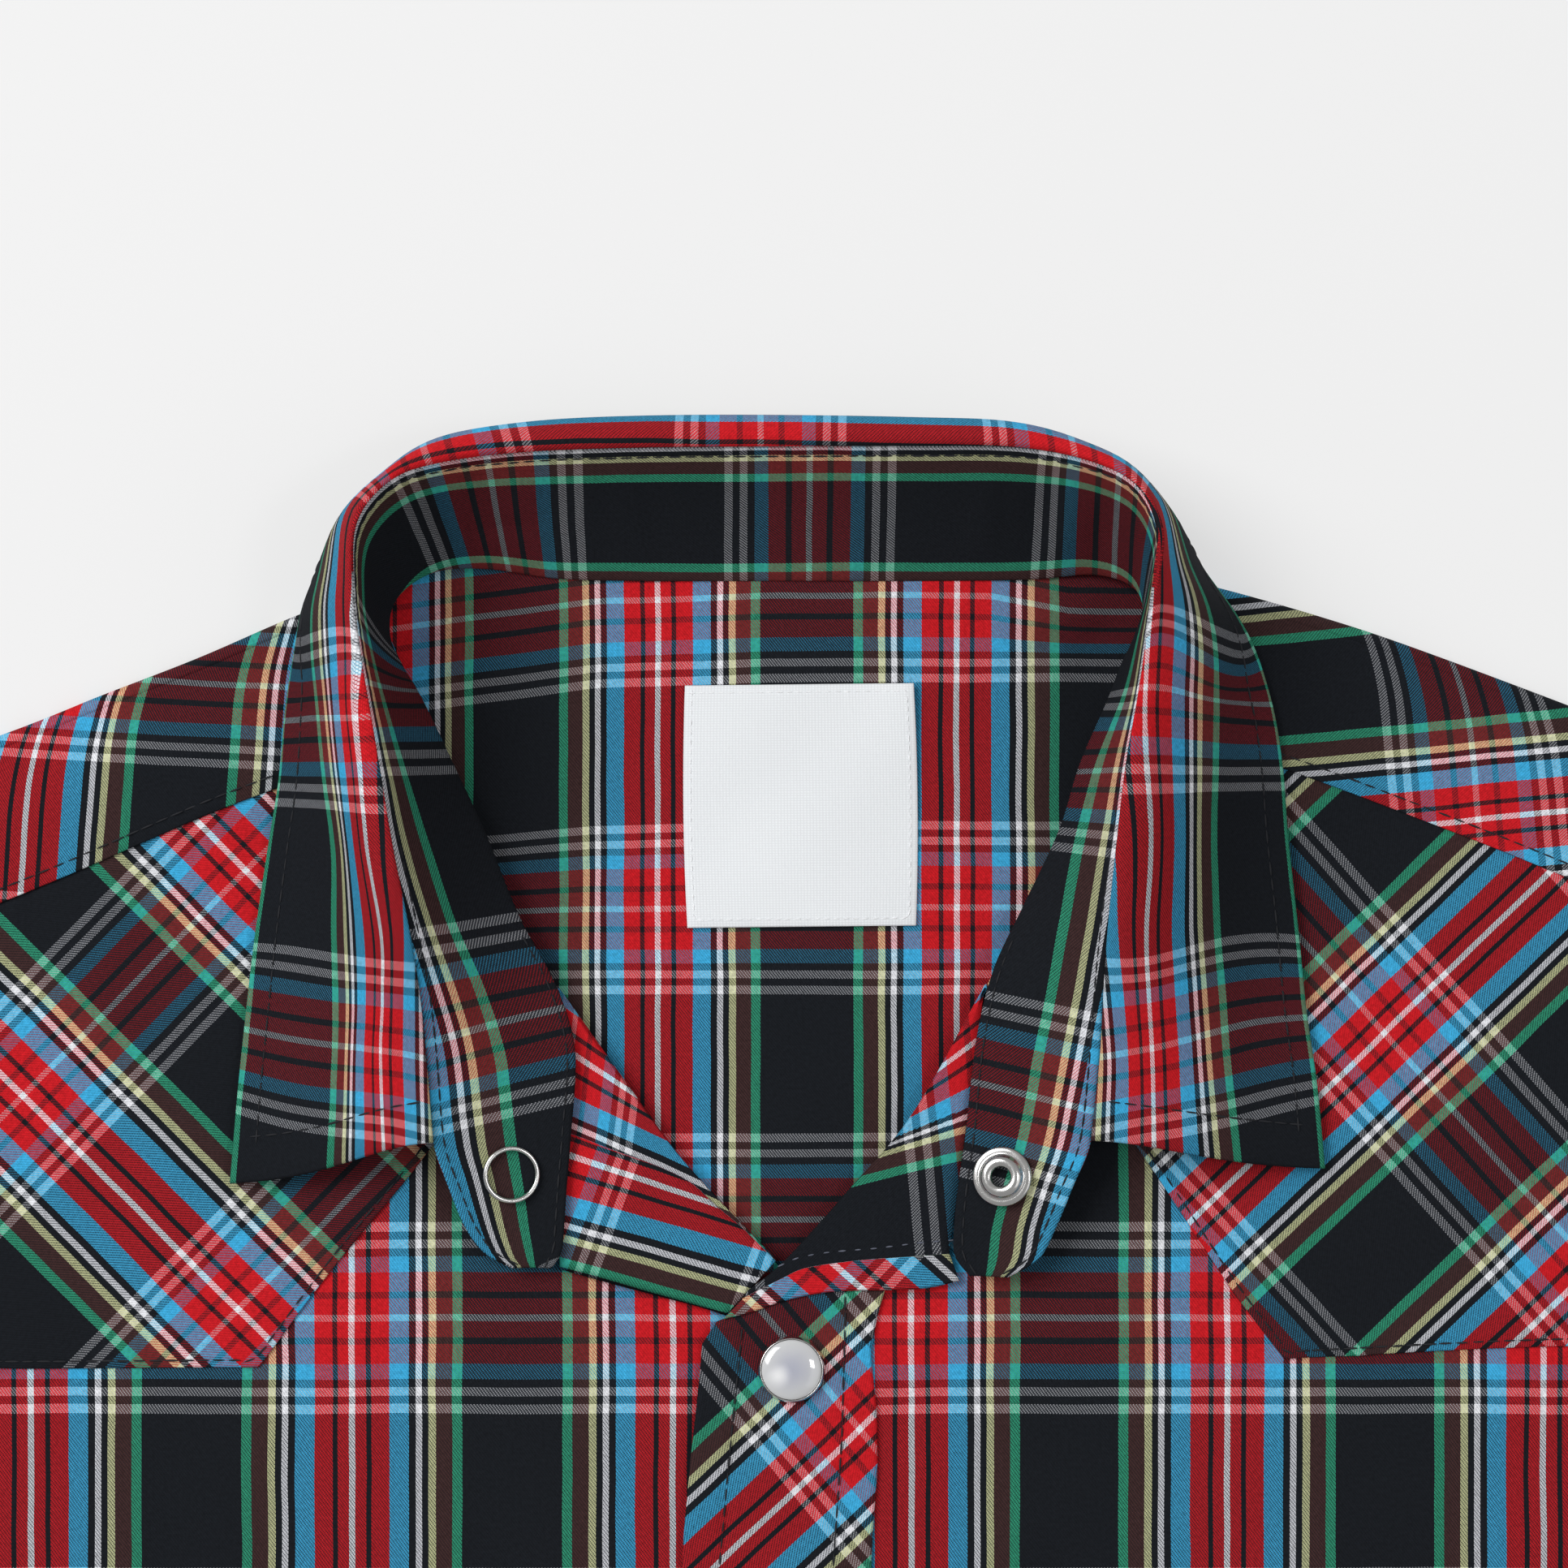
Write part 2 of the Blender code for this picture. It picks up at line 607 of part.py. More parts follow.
def make_leaf():
    """The collar leaf, turned down over the stand and tucked under it at the back."""
    rows = collar_rows()
    outer = []
    inner = []
    for row in rows:
        points, out = leaf_profile(row)
        outer += points
        inner += offset_profile(points, out, CLOTH)
    faces = grid_faces(len(rows), LEAF_ACROSS + 1)
    return add_piece("collar_leaf", *close_wall(outer, inner, faces), CLOTH_RED)


def sleeve_edges(sign):
    """The sleeve's upper and underarm edges, from the armhole to the cuff."""
    run = np.array((math.cos(SLEEVE_SLOPE), -math.sin(SLEEVE_SLOPE)))
    across = np.array((math.sin(SLEEVE_SLOPE) * -1.0, -math.cos(SLEEVE_SLOPE)))
    shoulder = np.array(ARMHOLE[0]) + run * SLEEVE_GAP
    armpit = np.array(ARMHOLE[-1]) + np.array((2.0 * SLEEVE_GAP, 0.0))
    wrist = shoulder + run * SLEEVE_LENGTH
    inside = wrist + across * CUFF_WIDTH
    flip = np.array((sign, 1.0))
    bow = shoulder + run * SLEEVE_LENGTH * 0.3 - across * 7.0
    bend = armpit + (inside - armpit) * 0.45 + across * 4.0
    return [p * flip for p in (shoulder, bow, wrist)], [p * flip for p in (armpit, bend, inside)]


def quad_curve(three, t):
    """A smooth curve through three points, at 0, a half and 1."""
    a, b, c = three
    middle = 2.0 * b - 0.5 * (a + c)
    return (1 - t) ** 2 * a + 2 * t * (1 - t) * middle + t * t * c


def armhole_shares():
    """Where the armhole seam's own points lie along it, which every ring of a sleeve repeats."""
    return [share_at(ARMHOLE, k) for k in range(len(ARMHOLE))]


def tube_ring(start, end, bow, width, heights, wall):
    """One ring of a flattened tube: outer and inner points, over the top and back along the floor."""
    shares = armhole_shares()
    turn = SLEEVE_EDGE / width
    outer = []
    inner = []

    def place(share, z, ring):
        p = start + (end - start) * share + bow(share)
        ring.append((p[0], p[1], z))

    edge_top = 2.0 * wall + GAP
    place(0.0, edge_top / 2.0, outer)
    place(wall / width, edge_top / 2.0, inner)
    for share, height in zip(shares, heights):
        s = min(max(share, turn), 1.0 - turn)
        place(s, edge_top + height, outer)
        place(s, edge_top + height - wall, inner)
    place(1.0, edge_top / 2.0, outer)
    place(1.0 - wall / width, edge_top / 2.0, inner)
    for share in reversed(shares):
        s = min(max(share, turn), 1.0 - turn)
        place(s, 0.0, outer)
        place(s, wall, inner)
    return outer, inner


def add_tube(name, rings, colour):
    """A tube wall through rings of outer and inner points, open at both ends."""
    size = len(rings[0][0])
    outer = [p for ring, _ in rings for p in ring]
    inner = [p for _, ring in rings for p in ring]
    faces = []
    for r in range(len(rings) - 1):
        for c in range(size):
            a = r * size + c
            b = r * size + (c + 1) % size
            faces.append((a, b, b + size, a + size))
    return add_piece(name, *close_wall(outer, inner, faces), colour)


def armhole_bow(sign):
    """How far the sleeve's end lies from its chord, as a function of the share down the armhole."""
    seam = np.array(ARMHOLE, dtype=float)
    run = np.gradient(seam, axis=0)
    away = np.stack((-run[:, 1], run[:, 0]), axis=1)
    away /= np.linalg.norm(away, axis=1)[:, None]
    curve = (seam + away * SLEEVE_GAP) * (sign, 1.0)
    reach = curve[-1] - curve[0]

    def bow(share):
        return along(curve, share) - (curve[0] + reach * share)

    return bow


def bow_left(t, share):
    """How much of the armhole's curve a ring keeps: less with its distance, and sooner near the armpit."""
    return max(0.0, 1.0 - t / (0.45 * (1.0 - 0.75 * share))) ** 2


def make_sleeve(side):
    """A long sleeve lying out and down from the armhole, flattened, with soft folds at the elbow."""
    top, low = sleeve_edges(side.sign)
    bow = armhole_bow(side.sign)
    rings = []
    for t in linspace(0.0, 1.0, SLEEVE_RINGS):
        start = quad_curve(top, t)
        end = quad_curve(low, t)
        width = float(np.linalg.norm(end - start))
        fade = (1.0 - min(1.0, t / 0.45)) ** 2
        heights = []
        for w in armhole_shares():
            puff = SLEEVE_AIR * math.sin(math.pi * w) ** 0.6
            elbow = math.exp(-((t - 0.52) / 0.2) ** 2)
            wave = 0.9 * elbow * math.sin(math.pi * w) * math.cos(2.0 * math.pi * (3.2 * t - 1.1 * w))
            shoulder = 1.5 * fade * (1.0 - smoothstep(0.1, 0.5, w))
            heights.append(puff + wave + shoulder)
        rings.append(tube_ring(start, end, lambda s, t=t: bow(s) * bow_left(t, s), width, heights, CLOTH))
    return add_tube(side.name + "_sleeve", rings, CLOTH_RED)


def cuff_corners(side):
    """The cuff's four corners: upper and lower edge at the sleeve, then at the wrist."""
    top, low = sleeve_edges(side.sign)
    run = np.array((side.sign * math.cos(SLEEVE_SLOPE), -math.sin(SLEEVE_SLOPE)))
    start = top[2] + run * GAP
    end = low[2] + run * GAP
    return start, end, start + run * CUFF_DEPTH, end + run * CUFF_DEPTH


def make_cuff(side):
    """A plain barrel cuff, flattened."""
    start, end, far_start, far_end = cuff_corners(side)
    rings = []
    for t in linspace(0.0, 1.0, 4):
        a = start + (far_start - start) * t
        b = end + (far_end - end) * t
        heights = [0.5 * math.sin(math.pi * w) for w in armhole_shares()]
        rings.append(tube_ring(a, b, lambda s: np.zeros(2), CUFF_WIDTH, heights, BAND_CLOTH))
    return add_tube(side.name + "_cuff", rings, CLOTH_DARK)


def make_label():
    """The woven label sewn to the yoke lining, bare."""
    grid = []
    for v in linspace(-0.5, 0.5, 4):
        grid.append([(LABEL_X + LABEL_WIDTH * u, LABEL_Y + LABEL_HEIGHT * v) for u in linspace(-0.5, 0.5, 4)])
    return add_panel("neck_label", grid, lambda x, y: 2 * LAYER, LABEL_WHITE, LABEL_CLOTH)


def turned(name, centre, normal, profile, colour, roughness, metallic):
    """A round piece from a closed profile of (radius, height) turned about its axis."""
    axis = np.asarray(normal, dtype=float)
    axis /= np.linalg.norm(axis)
    side = np.cross((0.0, 1.0, 0.0), axis)
    side /= np.linalg.norm(side)
    other = np.cross(axis, side)
    points = []
    rings = []
    for radius, height in profile:
        if radius == 0.0:
            rings.append([len(points)])
            points.append(np.asarray(centre) + axis * height)
            continue
        rings.append(list(range(len(points), len(points) + SNAP_SIDES)))
        for k in range(SNAP_SIDES):
            a = 2.0 * math.pi * k / SNAP_SIDES
            points.append(np.asarray(centre) + radius * (math.cos(a) * side + math.sin(a) * other) + axis * height)
    faces = []
    open_profile = len(rings[0]) == 1 or len(rings[-1]) == 1
    pairs = list(zip(rings, rings[1:])) + ([] if open_profile else [(rings[-1], rings[0])])
    for a, b in pairs:
        for k in range(SNAP_SIDES):
            n = (k + 1) % SNAP_SIDES
            if len(a) == 1:
                faces.append((a[0], b[n], b[k]))
            elif len(b) == 1:
                faces.append((a[k], a[n], b[0]))
            else:
                faces.append((a[k], a[n], b[n], b[k]))
    return add_piece(name, points, faces, colour, roughness, metallic)


def make_pearl_snap(stem, centre, normal=(0.0, 0.0, 1.0)):
    """A snap cap: a domed pearl set in a pronged metal rim."""
    bore = SNAP_RADIUS - SNAP_RIM_WIDTH
    rim = ((bore, 0.0), (SNAP_RADIUS, 0.0), (SNAP_RADIUS, 1.2), (bore + 0.35, 2.1), (bore, 2.1))
    turned(stem + "_rim", centre, normal, rim, SILVER, 0.25, 1.0)
    pearl = bore - GAP
    dome = ((0.0, 0.2), (pearl, 0.2), (pearl, 1.9), (pearl * 0.6, 2.7), (0.0, 3.0))
    turned(stem + "_pearl", centre, normal, dome, PEARL_WHITE, 0.15, 0.0)


def tab_spot(rows, x, y):
    """Height and normal of the stand tab's upper face at a place on it."""
    sections = [rows[0]] + list(rows[1])
    low = min(range(len(sections) - 1), key=lambda k: abs(sections[k].neck_y + sections[k + 1].neck_y - 2 * y))
    a, b = sections[low], sections[low + 1]
    t = (y - a.neck_y) / (b.neck_y - a.neck_y)
    neck = np.array((a.neck_x, a.neck_y, a.neck_z)) * (1 - t) + np.array((b.neck_x, b.neck_y, b.neck_z)) * t
    roll = np.array((a.roll_x, a.roll_y, a.roll_z)) * (1 - t) + np.array((b.roll_x, b.roll_y, b.roll_z)) * t
    share = (x - neck[0]) / (roll[0] - neck[0])
    along_tab = np.array((b.neck_x - a.neck_x, b.neck_y - a.neck_y, b.neck_z - a.neck_z))
    normal = np.cross(roll - neck, along_tab)
    normal *= np.sign(normal[2]) / np.linalg.norm(normal)
    return neck[2] + (roll[2] - neck[2]) * share, normal


def make_stand_snaps():
    """The bare prong ring and the socket on the two ends of the stand."""
    ring_x, ring_y = -46.1, -103.3
    z, normal = tab_spot((RIGHT_COLLAR[-1], RIGHT_TAB), ring_x, ring_y)
    ring = ((4.15, GAP), (5.05, GAP), (5.05, 0.9), (4.6, 1.3), (4.15, 0.9))
    turned("stand_ring_snap", (ring_x, ring_y, z + 0.2), normal, ring, SILVER, 0.25, 1.0)
    socket_x, socket_y = 39.7, -103.6
    z, normal = tab_spot((LEFT_COLLAR[-1], LEFT_TAB), socket_x, socket_y)
    socket = ((1.7, GAP), (5.25, GAP), (5.25, 0.8), (4.3, 1.0), (3.4, 2.0), (2.2, 2.1), (1.7, 1.2))
    turned("stand_socket_snap", (socket_x, socket_y, z + 0.2), normal, socket, SILVER, 0.3, 1.0)


def make_snaps():
    """The snaps down the placket and one on each cuff."""
    for k in range(SNAP_COUNT):
        y = SNAP_TOP_Y - SNAP_STEP * k
        z = front_under(SNAP_X, y, True) + 2 * LAYER + GAP
        make_pearl_snap(f"placket_snap_{k + 1}", (SNAP_X, y, z))
    for side in (WEARERS_RIGHT, WEARERS_LEFT):
        start, end, far_start, far_end = cuff_corners(side)
        middle = (start + far_start) / 2.0
        spot = middle + (end - start) * 0.2
        z = 2.0 * BAND_CLOTH + GAP + 0.8 + GAP
        make_pearl_snap(side.name + "_cuff_snap", (spot[0], spot[1], z))


def stand_on_origin():
    """Moves every mesh so that the whole shirt's box stands centred on the origin."""
    pieces = [o for o in bpy.data.objects if o.type == "MESH"]
    points = np.array([v.co[:] for o in pieces for v in o.data.vertices])
    low = points.min(axis=0)
    high = points.max(axis=0)
    shift = (-(low[0] + high[0]) / 2.0, -(low[1] + high[1]) / 2.0, -low[2])
    for piece in pieces:
        for vertex in piece.data.vertices:
            vertex.co = [c + s for c, s in zip(vertex.co, shift)]


def main():
    """Clears the scene and makes the shirt, from the lowest layer up."""
    for old in list(bpy.data.objects):
        bpy.data.objects.remove(old, do_unlink=True)
    make_back()
    make_yoke_lining()
    for side in (WEARERS_RIGHT, WEARERS_LEFT):
        make_back_yoke(side)
        make_front(side)
        make_front_yoke(side)
        make_facing(side)
        make_sleeve(side)
        make_cuff(side)
    make_placket()
    make_stand()
    make_leaf()
    make_label()
    make_stand_snaps()
    make_snaps()
    stand_on_origin()


main()
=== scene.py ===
"""Looks of a western snap shirt in tartan cotton twill, laid on its back with its collar open.

Every cloth piece is a thin closed shell that lies where its solid lies. Sizes are millimetres until a
mesh is made. While pieces are worked out, (0, 0) is the neck seam at the centre back, X runs to the
wearer's left, Y from the hem to the neck, and Z up from the table.
"""
import logging
import math
from dataclasses import dataclass, field
from enum import Enum
from typing import Callable, Sequence

import bpy
import numpy as np
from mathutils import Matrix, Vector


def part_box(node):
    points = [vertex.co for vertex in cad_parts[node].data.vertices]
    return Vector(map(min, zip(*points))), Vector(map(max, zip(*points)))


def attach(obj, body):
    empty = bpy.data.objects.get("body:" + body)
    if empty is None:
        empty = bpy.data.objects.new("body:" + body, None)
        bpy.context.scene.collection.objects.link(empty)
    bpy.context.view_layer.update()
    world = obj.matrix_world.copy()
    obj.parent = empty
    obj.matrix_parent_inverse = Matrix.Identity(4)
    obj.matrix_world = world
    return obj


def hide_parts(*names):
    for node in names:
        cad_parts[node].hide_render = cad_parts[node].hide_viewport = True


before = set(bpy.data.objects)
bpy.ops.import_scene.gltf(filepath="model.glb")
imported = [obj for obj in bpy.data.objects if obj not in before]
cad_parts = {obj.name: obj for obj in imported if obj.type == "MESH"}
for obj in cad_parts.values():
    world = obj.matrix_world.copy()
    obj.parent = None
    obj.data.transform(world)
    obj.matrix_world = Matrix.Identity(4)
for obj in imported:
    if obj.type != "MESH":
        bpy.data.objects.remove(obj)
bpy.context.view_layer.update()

log = logging.getLogger("western_shirt")

Array = np.ndarray
Height = Callable[[Array, Array], Array]
Material = bpy.types.Material
Node = bpy.types.Node
Piece = bpy.types.Object
Socket = bpy.types.NodeSocket
Tree = bpy.types.NodeTree

MM = 0.001
TAIL_Y = -735.0          # the back's hem at its middle, which the frame places
FRONT_TAIL_Y = -722.0    # the fronts' hem at its middle
SIDE_HEM_Y = -668.0      # the hem at the side seams
HEM_X = 262.0            # half of the hem's width
SIDE_X = 260.0           # half of the width at the armpits
ARMPIT_Y = -272.0
CHEST_X = 232.0          # half of the width above the armpits
RAMP_X = 48.0            # where the left front starts to climb over the right one
RAMP_END_X = 17.5        # and where it lies on it

SHEET = 0.55             # a single layer of shirting as drawn
BAND = 1.1               # stand, leaf and cuffs: two layers round an interlining
STRIP = 0.85             # the placket
LAYER = 1.5              # pitch of the solids' layers
CLOTH_SOLID = 1.2        # thickness of a single layer's solid
GAP = 0.3                # between solids side by side

NOSE_Z = 4.7             # height of the fold along the shoulder
NECK_LIFT = 2.0          # how far the upper layers rise beside the neck,
NECK_SIDE = (66.0, -9.0)  # round this place and its mirror image
AIR = 0.9                # how far the fronts stand off the back away from the side seams
TABLE_GAP = 0.05         # under the back yoke
BACK_Z = 0.62            # the back's face
LINING_Z = 2.35          # the face of the yoke's inner layer
FRONT_RISE = 1.9         # a front's face over the underside of its solid
YOKE_RISE = 0.62         # a front yoke's face over the front's
FOLD_RISE = 1.25         # the face of a turned facing, or of the back yoke's edge, over the front's
PLACKET_RISE = 1.0       # the placket's face over the front's


# ---- plain helpers


def linear(code: str) -> tuple[float, float, float, float]:
    """Turns an sRGB hex colour to linear.

    Args:
        code: Six hex digits after a hash.

    Returns:
        Red, green, blue and an alpha of 1.
    """
    channels = [int(code[k:k + 2], 16) / 255.0 for k in (1, 3, 5)]
    lin = [c / 12.92 if c <= 0.04045 else ((c + 0.055) / 1.055) ** 2.4 for c in channels]
    return (lin[0], lin[1], lin[2], 1.0)


def smoothstep(low: float, high: float, value: Array | float) -> Array:
    """0 below low, 1 above high, smooth between. low may be the larger."""
    t = np.clip((np.asarray(value, dtype=float) - low) / (high - low), 0.0, 1.0)
    return t * t * (3.0 - 2.0 * t)


def splined(rows: Array, per_span: int) -> Array:
    """Passes a Catmull-Rom curve through rows of numbers.

    Args:
        rows: One row for each control point.
        per_span: How many steps each span is cut into.

    Returns:
        The denser rows, with the first and last ones kept.
    """
    pts = np.asarray(rows, dtype=float)
    padded = np.vstack((2 * pts[0] - pts[1], pts, 2 * pts[-1] - pts[-2]))
    t = np.linspace(0.0, 1.0, per_span, endpoint=False)[:, None]
    parts = []
    for k in range(len(pts) - 1):
        a, b, c, d = padded[k:k + 4]
        parts.append(0.5 * (2 * b + (c - a) * t + (2 * a - 5 * b + 4 * c - d) * t ** 2
                            + (3 * b - a - 3 * c + d) * t ** 3))
    return np.vstack(parts + [pts[-1:]])


class Line:
    """A curve in plan, smooth between its corners, measured by its own length."""

    def __init__(self, points: Sequence[Sequence[float]], corners: Sequence[int] = (), smooth: bool = True,
                 measured: int = 2) -> None:
        """Samples the curve.

        Args:
            points: Control points, which may carry more numbers than their places.
            corners: Indices of the points where the curve may turn sharply.
            smooth: False keeps it a polyline.
            measured: How many of the numbers are the place that its length is taken from.
        """
        pts = np.asarray(points, dtype=float)
        cuts = [0, *sorted(corners), len(pts) - 1]
        if smooth:
            runs = [splined(pts[a:b + 1], 12) for a, b in zip(cuts, cuts[1:])]
            self.samples = np.vstack([runs[0]] + [r[1:] for r in runs[1:]])
        else:
            self.samples = pts
        steps = np.linalg.norm(np.diff(self.samples[:, :measured], axis=0), axis=1)
        self.reach = np.concatenate(([0.0], np.cumsum(steps)))
        self.length = float(self.reach[-1])
        self.corner_shares = [self.share_of(pts[k, :2]) for k in corners]

    def share_of(self, point: Array) -> float:
        """How far along the curve the sample nearest to a place lies, as a share."""
        nearest = int(np.argmin(np.linalg.norm(self.samples[:, :2] - point, axis=1)))
        return float(self.reach[nearest] / self.length)

    def at(self, shares: Array | float) -> Array:
        """The points at shares of the curve's length."""
        s = np.asarray(shares, dtype=float) * self.length
        return np.stack([np.interp(s, self.reach, column) for column in self.samples.T], axis=-1)


def nosed(count: int, length: float, radius: float, corners: Sequence[float] = ()) -> tuple[Array, Array]:
    """Shares across a shell whose two edges are rounded.

    Args:
        count: How many even steps lie between the two noses.
        length: Length in millimetres.
        radius: Half of the shell's thickness.
        corners: Shares that must be among the result.

    Returns:
        The shares, and how far below the flat each one's face lies.
    """
    inward, fall = 0.3, 0.286      # of the radius, for the one point between the edge and the flat
    even = np.linspace(radius / length, 1.0 - radius / length, count)
    for c in corners:
        even[int(np.argmin(abs(even - c)))] = c
    near = inward * radius / length
    shares = np.concatenate(([0.0, near], even, [1.0 - near, 1.0]))
    drop = np.zeros(len(shares))
    drop[[0, -1]] = radius
    drop[[1, -2]] = fall * radius
    return shares, drop


def grid_quads(rows: int, cols: int, start: int = 0, closed: bool = False) -> Array:
    """Quads of a grid of points numbered row by row.

    Args:
        rows: Number of rows.
        cols: Number of columns.
        start: The first point's number.
        closed: True where the last column meets the first.

    Returns:
        One row of four indices for each quad.
    """
    ids = start + np.arange(rows * cols).reshape(rows, cols)
    if closed:
        ids = np.concatenate((ids, ids[:, :1]), axis=1)
    return np.stack((ids[:-1, :-1], ids[:-1, 1:], ids[1:, 1:], ids[1:, :-1]), axis=-1).reshape(-1, 4)


def vertex_normals(points: Array, quads: Array) -> Array:
    """Unit normals at points, from the quads round them.

    Args:
        points: N by 3 points.
        quads: Four indices for each quad.

    Returns:
        One normal for each point.
    """
    corner = points[quads]
    face = np.cross(corner[:, 2] - corner[:, 0], corner[:, 3] - corner[:, 1])
    total = np.zeros_like(points)
    for k in range(4):
        np.add.at(total, quads[:, k], face)
    return total / np.maximum(np.linalg.norm(total, axis=1, keepdims=True), 1e-12)


def row_shift() -> Array:
    """Where the neck seam at the centre back lies in the row's frame, in millimetres."""
    low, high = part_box("back")
    return np.array(((low[0] + high[0]) / 2.0 / MM, low[1] / MM - TAIL_Y, 0.0))


SHIFT = row_shift()


def add_mesh(name: str, points: Array, faces: Sequence[Sequence[int]], material: Material,
             uv: Array | None = None) -> Piece:
    """Makes a smooth-shaded object at the origin from points in millimetres in the neck's frame.

    Args:
        name: The piece's name.
        points: N by 3 points.
        faces: Vertex indices of each face.
        material: The piece's finish.
        uv: N by 2 places in the cloth, in metres, or None.

    Returns:
        The new object.
    """
    mesh = bpy.data.meshes.new(name)
    mesh.from_pydata(((np.asarray(points) + SHIFT) * MM).tolist(), [], faces)
    if uv is not None:
        layer = mesh.uv_layers.new(name="cloth")
        corner = np.empty(len(mesh.loops), dtype=np.int32)
        mesh.loops.foreach_get("vertex_index", corner)
        layer.data.foreach_set("uv", np.asarray(uv, dtype=np.float32)[corner].ravel())
    mesh.materials.append(material)
    mesh.shade_smooth()
    piece = bpy.data.objects.new(name, mesh)
    bpy.context.collection.objects.link(piece)
    return piece


def shell(name: str, top: Array, quads: Array, uv: Array, drop: Array, thickness: float, material: Material,
          outward: Array | Sequence[float] = (0.0, 0.0, 1.0)) -> Piece:
    """A closed cloth wall with rounded edges.

    Args:
        name: The piece's name.
        top: N by 3 points on the face that shows.
        quads: That face's quads.
        uv: N by 2 places in the cloth, in metres.
        drop: How far the face falls towards the wall's middle at each point, which rounds the edges.
        thickness: The wall's thickness.
        material: The piece's finish.
        outward: One direction, or one for each point, that the face looks to.

    Returns:
        The new object.
    """
    normal = vertex_normals(top, quads)
    if float(np.sum(normal * np.asarray(outward))) < 0:
        quads, normal = quads[:, ::-1], -normal
    ends = np.concatenate([quads[:, [k, (k + 1) % 4]] for k in range(4)])
    _, first, count = np.unique(np.sort(ends, axis=1), axis=0, return_index=True, return_counts=True)
    border = np.zeros(len(top), dtype=bool)
    border[ends[first[count == 1]].ravel()] = True
    fall = np.where(border, thickness / 2.0, drop)[:, None]
    upper = top - normal * fall
    lower = top - normal * (thickness - fall)
    below = np.where(border, np.arange(len(top)), len(top) + np.cumsum(~border) - 1)
    points = np.concatenate((upper, lower[~border]))
    places = np.concatenate((uv, uv[~border]))
    faces = np.concatenate((quads, below[quads][:, ::-1]))
    return add_mesh(name, points, faces.tolist(), material, places)


def grid_shell(name: str, points: Array, uv: Array, drop: Array, thickness: float,
               material: Material) -> Piece:
    """A shell over a grid: rows by columns of points, of places in the cloth and of falls, as in shell."""
    return shell(name, points.reshape(-1, 3), grid_quads(*points.shape[:2]), uv.reshape(-1, 2), drop.ravel(),
                 thickness, material)


def lay(name: str, plan: Array, height: Height, uv: Height, drop: Array, thickness: float,
        material: Material) -> Piece:
    """A shell over places in plan, with functions that give its height and its place in the cloth."""
    x, y = plan[..., 0], plan[..., 1]
    return grid_shell(name, np.stack((x, y, height(x, y)), axis=-1), uv(x, y), drop, thickness, material)


def ruled(start: Line, end: Line, rows: Array, cols: Array) -> Array:
    """Grid of plan points: each row runs from a share of the start line to the same share of the end line."""
    a, b = (line.at(rows)[:, None, :2] for line in (start, end))
    return a + (b - a) * cols[None, :, None]


def beside(line: Array, distance: float) -> Array:
    """Plan points at a distance from a line's own, on its left."""
    run = np.gradient(line, axis=0)
    return line + distance * np.stack((-run[:, 1], run[:, 0]), axis=1) / np.hypot(*run.T)[:, None]


def edge_drop(row_drop: Array, col_drop: Array) -> Array:
    """The fall of a grid's edges from those of its rows and of its columns."""
    return np.maximum(row_drop[:, None], col_drop[None, :])


# ---- finishes


def add_node(tree: Tree, kind: str, given: dict | None = None, **settings: object) -> Node:
    """Adds one node.

    Args:
        tree: The tree it goes in.
        kind: The node's type name.
        given: Input name or number to a socket, which is linked, or to a value, which is set.
        settings: The node's own properties.

    Returns:
        The new node.
    """
    node = tree.nodes.new(kind)
    for key, value in settings.items():
        setattr(node, key, value)
    for key, value in (given or {}).items():
        if isinstance(value, Socket):
            tree.links.new(value, node.inputs[key])
        else:
            node.inputs[key].default_value = value
    return node


def new_finish(name: str, values: dict) -> tuple[Material, Tree, Node]:
    """A new material, its tree and its Principled shader, some of whose inputs are set.

    Args:
        name: The material's name.
        values: Values by the names of the shader's inputs.

    Returns:
        The three of them.
    """
    material = bpy.data.materials.new(name)
    material.use_nodes = True
    shader = material.node_tree.nodes["Principled BSDF"]
    for key, value in values.items():
        shader.inputs[key].default_value = value
    return material, material.node_tree, shader


def maths(tree: Tree, operation: str, *numbers: Socket | float) -> Socket:
    """The result of an operation on one number or two."""
    return add_node(tree, "ShaderNodeMath", dict(enumerate(numbers)), operation=operation).outputs[0]


def ranged(tree: Tree, share: Socket, low: float, high: float) -> Socket:
    """What was 0 to 1, from low to high."""
    return add_node(tree, "ShaderNodeMapRange", {0: share, 3: low, 4: high}).outputs[0]


def humps(tree: Tree, count: Socket) -> Socket:
    """Round heights, 0 to 1, of threads that a socket counts."""
    return maths(tree, "ABSOLUTE", maths(tree, "SINE", maths(tree, "MULTIPLY", count, math.pi)))


def tint(tree: Tree, shader: Node, colour: Socket | Sequence[float], tone: Socket) -> None:
    """Gives the shader a colour scaled by a tone."""
    scaled = add_node(tree, "ShaderNodeVectorMath", {0: colour, "Scale": tone}, operation="SCALE")
    tree.links.new(scaled.outputs[0], shader.inputs["Base Color"])


def emboss(tree: Tree, shader: Node, height: Socket, depth_mm: float) -> None:
    """Gives the shader a relief whose heights run from 0 to 1."""
    bump = add_node(tree, "ShaderNodeBump", {"Strength": 0.5, "Distance": depth_mm * MM, "Height": height})
    tree.links.new(bump.outputs[0], shader.inputs["Normal"])


class Yarn(Enum):
    """The yarn colours of the cloth, as sRGB hex."""

    RED = "#CE1E26"
    BLACK = "#1A1D22"
    BLUE = "#42B0E2"
    WHITE = "#ECEDF2"
    YELLOW = "#D5D7A0"
    BROWN = "#4A2E2C"
    GREEN = "#34A67D"


